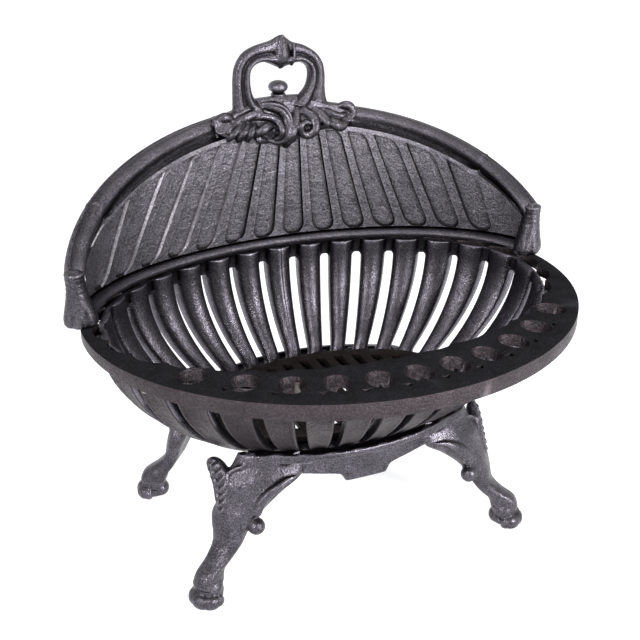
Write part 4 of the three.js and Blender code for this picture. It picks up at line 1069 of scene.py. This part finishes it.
loop_line = flow(LOOP, 160)
loop = shaped_sheet("loop", 160, len(LOOP_SECTION) + 1, loop_place, close_ends)
BUD = [(1.6, 499.6, 0.5), (1.6, 496.6, 3.2), (1.5, 491.6, 5.6), (1.2, 485.6, 7.8), (0.8, 479.6, 8.8),
       (0.1, 473.5, 7.9), (-0.7, 468.5, 5.2), (-1.5, 464.6, 1)]
bud = bar("bud", [(x * MM, HANDLE_Y - 3 * MM, z * MM, r * MM, r * MM) for x, z, r in BUD],
          up=(0, -1, 0), count=40, sides=24)
COLLAR = [(12.8, 490.5, 3), (12.9, 486, 7.4), (12.5, 479, 8.6), (11.6, 472, 7.4), (11, 467.5, 3)]
collar = bar("collar", [(x * MM, HANDLE_Y - out * MM, z * MM, 1.5 * MM, 2 * MM) for x, z, out in COLLAR],
             up=(0, -1, 0), count=24, sides=12)
crest = cast_in_one("crest_and_handle", [saddle, *strokes, loop, bud, collar], 0.85 * MM, 1)
paint(crest, graphited_iron)
hand_over(crest, "hood", "graphite_iron", "handle_crest")

# %% [markdown]
# The knob is a small turned ball on a collar. Its half outline is drawn and spun round its axis.

# %% Knob
KNOB = [(0, 410), (3, 410), (3, 434.8), (7.6, 434.8), (8, 435.6), (8, 437), (7, 438), (5.8, 438.8),
        (7.8, 440), (9.8, 441.8), (10.5, 444.4), (9.8, 447), (7.6, 449.2), (4.2, 450.6), (0, 451)]
KNOB_Y = 169.5 * MM
knob = shaped_sheet("knob_ball", 49, len(KNOB), lambda column, row: Vector((
    KNOB[row][0] * MM * math.cos(2 * math.pi * column / 48),
    KNOB[row][0] * MM * math.sin(2 * math.pi * column / 48) + KNOB_Y, KNOB[row][1] * MM)))
smooth(knob, 40)
paint(knob, graphited_iron)
hand_over(knob, "hood", "graphite_iron", "handle_knob")

# %% [markdown]
# The stand's front casting is an apron that follows the bowl's foot, with a cabriole leg at each
# end. The leg sweeps out from a broad knee, thins to an ankle and ends in a lion's paw.
# Apron, legs, scrolls and leaves run into each other in the sand mould, so they are drawn as
# closed parts, melted together and smoothed. The rear casting is a mirrored copy.

# %% Stand measures
APRON = (153 * MM, 102 * MM)
STAND_MIDDLE = 42 * MM
LEG_TURN = math.radians(35)
LEG_HALF, LEG_REACH, KNEE = 30 * MM, 73 * MM, 137 * MM
SQUARENESS = 0.62
# Height, curl side, leaf side, back and front, as shares of the leg's sizes
LEG_ROWS = [(0.16, -0.36, 0.54, 0.5, 0.9), (0.24, -0.32, 0.47, 0.45, 0.84),
            (0.31, -0.44, 0.38, 0.35, 0.66), (0.4, -0.6, 0.35, 0.26, 0.5), (0.48, -0.7, 0.4, 0.205, 0.46),
            (0.53, -0.78, 0.48, 0.165, 0.45), (0.6, -0.92, 0.54, 0.11, 0.435),
            (0.66, -1.08, 0.46, 0.07, 0.41), (0.73, -1.3, 0.3, 0.04, 0.36), (0.79, -1.5, 0.25, 0, 0.32),
            (0.83, -1.68, 0.24, -0.01, 0.29), (0.87, -1.8, 0.22, -0.02, 0.25),
            (0.92, -1.8, 0.18, -0.04, 0.17), (0.97, -1.75, 0.08, -0.04, 0.09),
            (1.045, -1.7, -0.04, -0.05, 0.03)]


def leg_point(side, across, out, height):
    """A place on a leg: across towards its leaf, out from the bowl, in metres"""
    x = APRON[0] * math.cos(LEG_TURN) + across * math.sin(LEG_TURN) + out * math.cos(LEG_TURN)
    y = -APRON[1] * math.sin(LEG_TURN) + across * math.cos(LEG_TURN) - out * math.sin(LEG_TURN)
    return Vector((side * x, y + BASKET_Y, height))


def leg_bend(across):
    """How far the leg's front falls back, as its face is rounded across"""
    return across ** 2 / (2 * 38 * MM)


def leg_front(share):
    """Curl side, leaf side, back and front of the leg at this share of its height"""
    for low, high in zip(LEG_ROWS, LEG_ROWS[1:]):
        if share <= high[0]:
            t = max(share - low[0], 0) / (high[0] - low[0])
            return [mix(a, b, t) for a, b in zip(low[1:], high[1:])]
    return list(LEG_ROWS[-1][1:])


# %% Leg shaft
def leg_shaft(side):
    rows = flow(LEG_ROWS, 44)

    def place(column, row):
        share, curl, leaf, back, front = rows[row]
        turn = 2 * math.pi * column / 40
        c, s = math.cos(turn), math.sin(turn)
        u = math.copysign(abs(c) ** SQUARENESS, c)
        v = math.copysign(abs(s) ** SQUARENESS, s)
        across = mix(curl, leaf, (u + 1) / 2) * LEG_HALF
        hollow = 0.09 * math.sin(math.pi * within((share - 0.5) / 0.5)) * max(v, 0) * (1 - u * u)
        out = mix(back, front, (v + 1) / 2) * LEG_REACH - hollow * LEG_REACH * 0.6
        return leg_point(side, across, out - leg_bend(across), share * KNEE)

    return shaped_sheet("leg_shaft", 41, 44, place, close_ends)


# %% Lion paw
def lion_paw(side):
    """A smooth instep over one ring of toes, parted by faint creases"""
    toes = []
    for i in range(61):
        angle = math.radians(mix(-104, 104, i / 60))
        crease = 2.4 * abs(math.cos(3.7 * angle)) ** 0.4 - 4.6 * abs(angle / 1.9) ** 4 - 0.6
        across, out = 1 + 14.2 * math.sin(angle), 52 + 13.6 * math.cos(angle)
        place = leg_point(side, across * MM, out * MM, 8 * MM)
        toes.append((*place, (4.9 + 0.6 * crease) * MM, (6.8 + 0.6 * crease) * MM))
    outwards = math.atan2(-math.sin(LEG_TURN), side * math.cos(LEG_TURN)) + math.pi / 2

    def lump(name, out, height, sizes, lean):
        return pebble(name, leg_point(side, 1 * MM, out * MM, height * MM), [size * MM for size in sizes],
                      math.radians(lean), outwards)

    return [bar("toe_ring", toes, up=(0, 0, 1), count=90, sides=20),
            lump("instep", 51, 18.5, (14.8, 13.2, 11.6), 12),
            lump("paw_sole", 51, 8, (14, 14, 7.8), 0), lump("paw_heel", 43, 10, (10.5, 8.5, 9), 0)]


# %% Scroll along the arch, curl and leaf
def on_leg(side, across_share, height_share, proud):
    """A place on the leg's front at a share between its curl side and its leaf side"""
    curl, leaf, _, front = leg_front(height_share)
    across = mix(curl, leaf, across_share) * LEG_HALF
    out = front * LEG_REACH - leg_bend(across)
    return leg_point(side, across, out + proud, height_share * KNEE)


# Height of the apron's lower edge, at a distance from its middle
APRON_FOOT = [(0, 101), (24.5, 101), (26, 104), (29, 108.8), (34, 110.6), (44, 112.2), (55, 113.6),
              (66, 115.4), (85, 117), (100, 111), (111, 98), (122.4, 93), (140, 91)]


def apron_point(x, depth, height):
    """A place on the apron, this deep behind the lip's face"""
    turn = math.acos(within(x / APRON[0], -1))
    half_width, half_depth = APRON[0] - depth, APRON[1] - depth
    return Vector((half_width * math.cos(turn), -half_depth * math.sin(turn) + BASKET_Y, height))


# The arch's lower edge towards a leg: how far out, how far in front of the middle, and how high
ARCH_EDGE = [(74, -60, 121.4), (80, -61.5, 120), (86, -62, 117.4), (91, -62.5, 113.8), (96, -62, 109.6),
             (102, -61, 104.2), (108, -60, 97), (112.5, -59.5, 88.6), (114.5, -60, 81)]


def arch_scroll(side):
    """A half-round roll that starts as a point on the arch's edge and swells towards the curl"""
    keys = []
    for (x, y, z), radius in zip(ARCH_EDGE, (1, 1.8, 2.6, 3.3, 4, 4.6, 5.1, 5.2, 5)):
        place = (side * (x + 0.6 * radius), y - 2.2, z + 1.3 * radius, radius, radius)
        keys.append([value * MM for value in place])
    return bar("arch_scroll", keys, up=(0, -1, 0.2), count=60)


def curl(side):
    """The plain ball in which the roll ends"""
    return pebble("curl_ball", leg_point(side, -30 * MM, 12 * MM, 76 * MM), [8.8 * MM] * 3)


def lip_line(side):
    """The raised line that leaves the lip and runs down to the back of the leaf"""
    places = [apron_point(side * x * MM, 0.6 * MM, 135.6 * MM) for x in (60, 75, 90, 103)]
    places += [on_leg(side, across, share, 0.2 * MM)
               for across, share in ((0.8, 0.965), (0.9, 0.935), (0.96, 0.9), (0.98, 0.86))]
    keys = [(*place, 1.5 * MM, 1.5 * MM) for place in places]
    return bar("lip_line", keys, up=(0, -1, 0.2), count=50, sides=8)


# Height, half width, thickness, and the middle's place across and out
EAR_ROWS = [(134.8, 3, 2, 20, 9), (132.5, 8.5, 5, 18.4, 10), (127.5, 12.6, 7.5, 15, 12),
            (119, 11.6, 8.5, 9.8, 15), (110, 9.6, 8, 5.6, 18), (101, 8.2, 7, 3.6, 21),
            (94, 5.6, 5.5, 2, 24), (88, 2.8, 3, 0, 26.5)]


def leaf_ear(side):
    """A leaf with a midrib and slanting veins, which leans on the leg's outer edge"""
    line = flow([[value * MM for value in row] for row in EAR_ROWS], 70)
    lean = 0.2

    def place(column, row):
        height, half, thick, mid_across, mid_out = line[row]
        turn = 2 * math.pi * column / 64
        c, s = math.cos(turn), math.sin(turn)
        if s > 0:
            slant = height / MM - 0.8 * abs(c) * half / MM
            vein = 1.5 * math.cos(slant * 2 * math.pi / 6.4) * (1 - c ** 6) * (1 if c < 0.3 else 0.4)
            rib = 1.6 * math.exp(-((c - 0.3) / 0.12) ** 2) + 2.4 * math.exp(-((c - 0.9) / 0.12) ** 2)
            out = 0.5 * thick * s + (vein + rib) * MM
        else:
            out = 1.3 * thick * s
        across = half * c
        return leg_point(side, mid_across + across * math.cos(lean) + out * math.sin(lean),
                         mid_out - across * math.sin(lean) + out * math.cos(lean), height)

    return shaped_sheet("leaf_ear", 65, 70, place, close_ends)


# %% Apron
LIP, SEAT_UNDERSIDE, SEAT_TOP, SEAT_DEPTH, LIP_WIDTH = 143.6, 129.7, 137.7, 50, 4


def apron_section(x):
    """The apron's outline, how deep and how high, from the lip down its face and back along the seat"""
    face = mix(13, 2, min(abs(x) / (APRON[0] * math.cos(LEG_TURN)), 1) ** 3)
    foot = along(APRON_FOOT, abs(x) / MM)
    shape = [(0.8, LIP), (0, LIP - 1), (-0.2, LIP - 3.5), (0, LIP - 6), (1.2, LIP - 7.2),
             (face - 1, LIP - 9.5), (face, LIP - 12), (face, foot + 1), (face + 1, foot), (face + 7, foot),
             (face + 8, foot + 1),
             (face + 8, SEAT_UNDERSIDE), (SEAT_DEPTH, SEAT_UNDERSIDE), (SEAT_DEPTH, SEAT_TOP),
             (LIP_WIDTH, SEAT_TOP), (LIP_WIDTH, LIP)]
    return [apron_point(x, depth * MM, height * MM) for depth, height in shape]


half_stations = [0, 8, 16, 24, 25, 26.5, 29, 31, 34, 38, 44, 50, 56, 62, 70, 78, 85, 92, 98, 103, 107,
                 111, 116, 122.4]
apron_stations = [-x for x in reversed(half_stations[1:])] + half_stations
apron_sections = [apron_section(x * MM) for x in apron_stations]
apron = shaped_sheet("apron", len(apron_sections), 17, lambda column, row: apron_sections[column][row % 16],
                     close_ends)

# %% Front casting
stand_parts = [apron]
for side in (-1, 1):
    stand_parts += [leg_shaft(side), *lion_paw(side), arch_scroll(side), curl(side), lip_line(side),
                    leaf_ear(side)]
stand_front = cast_in_one("front_casting", stand_parts, 1.35 * MM, 2)
for vertex in stand_front.data.vertices:
    vertex.co.z = max(vertex.co.z, 0)
paint(stand_front, graphited_iron)
hand_over(stand_front, "basket_and_stand", "graphite_iron", "stand_front")

# %% Rear casting
deselect_all()
stand_front.select_set(True)
bpy.context.view_layer.objects.active = stand_front
bpy.ops.object.duplicate(linked=False)
stand_rear = bpy.context.active_object
stand_rear.name = stand_rear.data.name = "rear_casting"
for vertex in stand_rear.data.vertices:
    vertex.co.y = 2 * STAND_MIDDLE - vertex.co.y
in_edit_mode(stand_rear, face_outwards)
hand_over(stand_rear, "basket_and_stand", "graphite_iron", "stand_rear")

# %% [markdown]
# The bolts and nuts are small turned and pressed pieces whose CAD shape is already right.
# They only get their own iron.

# %% Small pieces keep their CAD shape
for name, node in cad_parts.items():
    cad_object = node if hasattr(node, "material_slots") else bpy.data.objects.get(name)
    if cad_object and not cad_object.hide_render:
        for place in cad_object.material_slots:
            place.material = bolt_steel
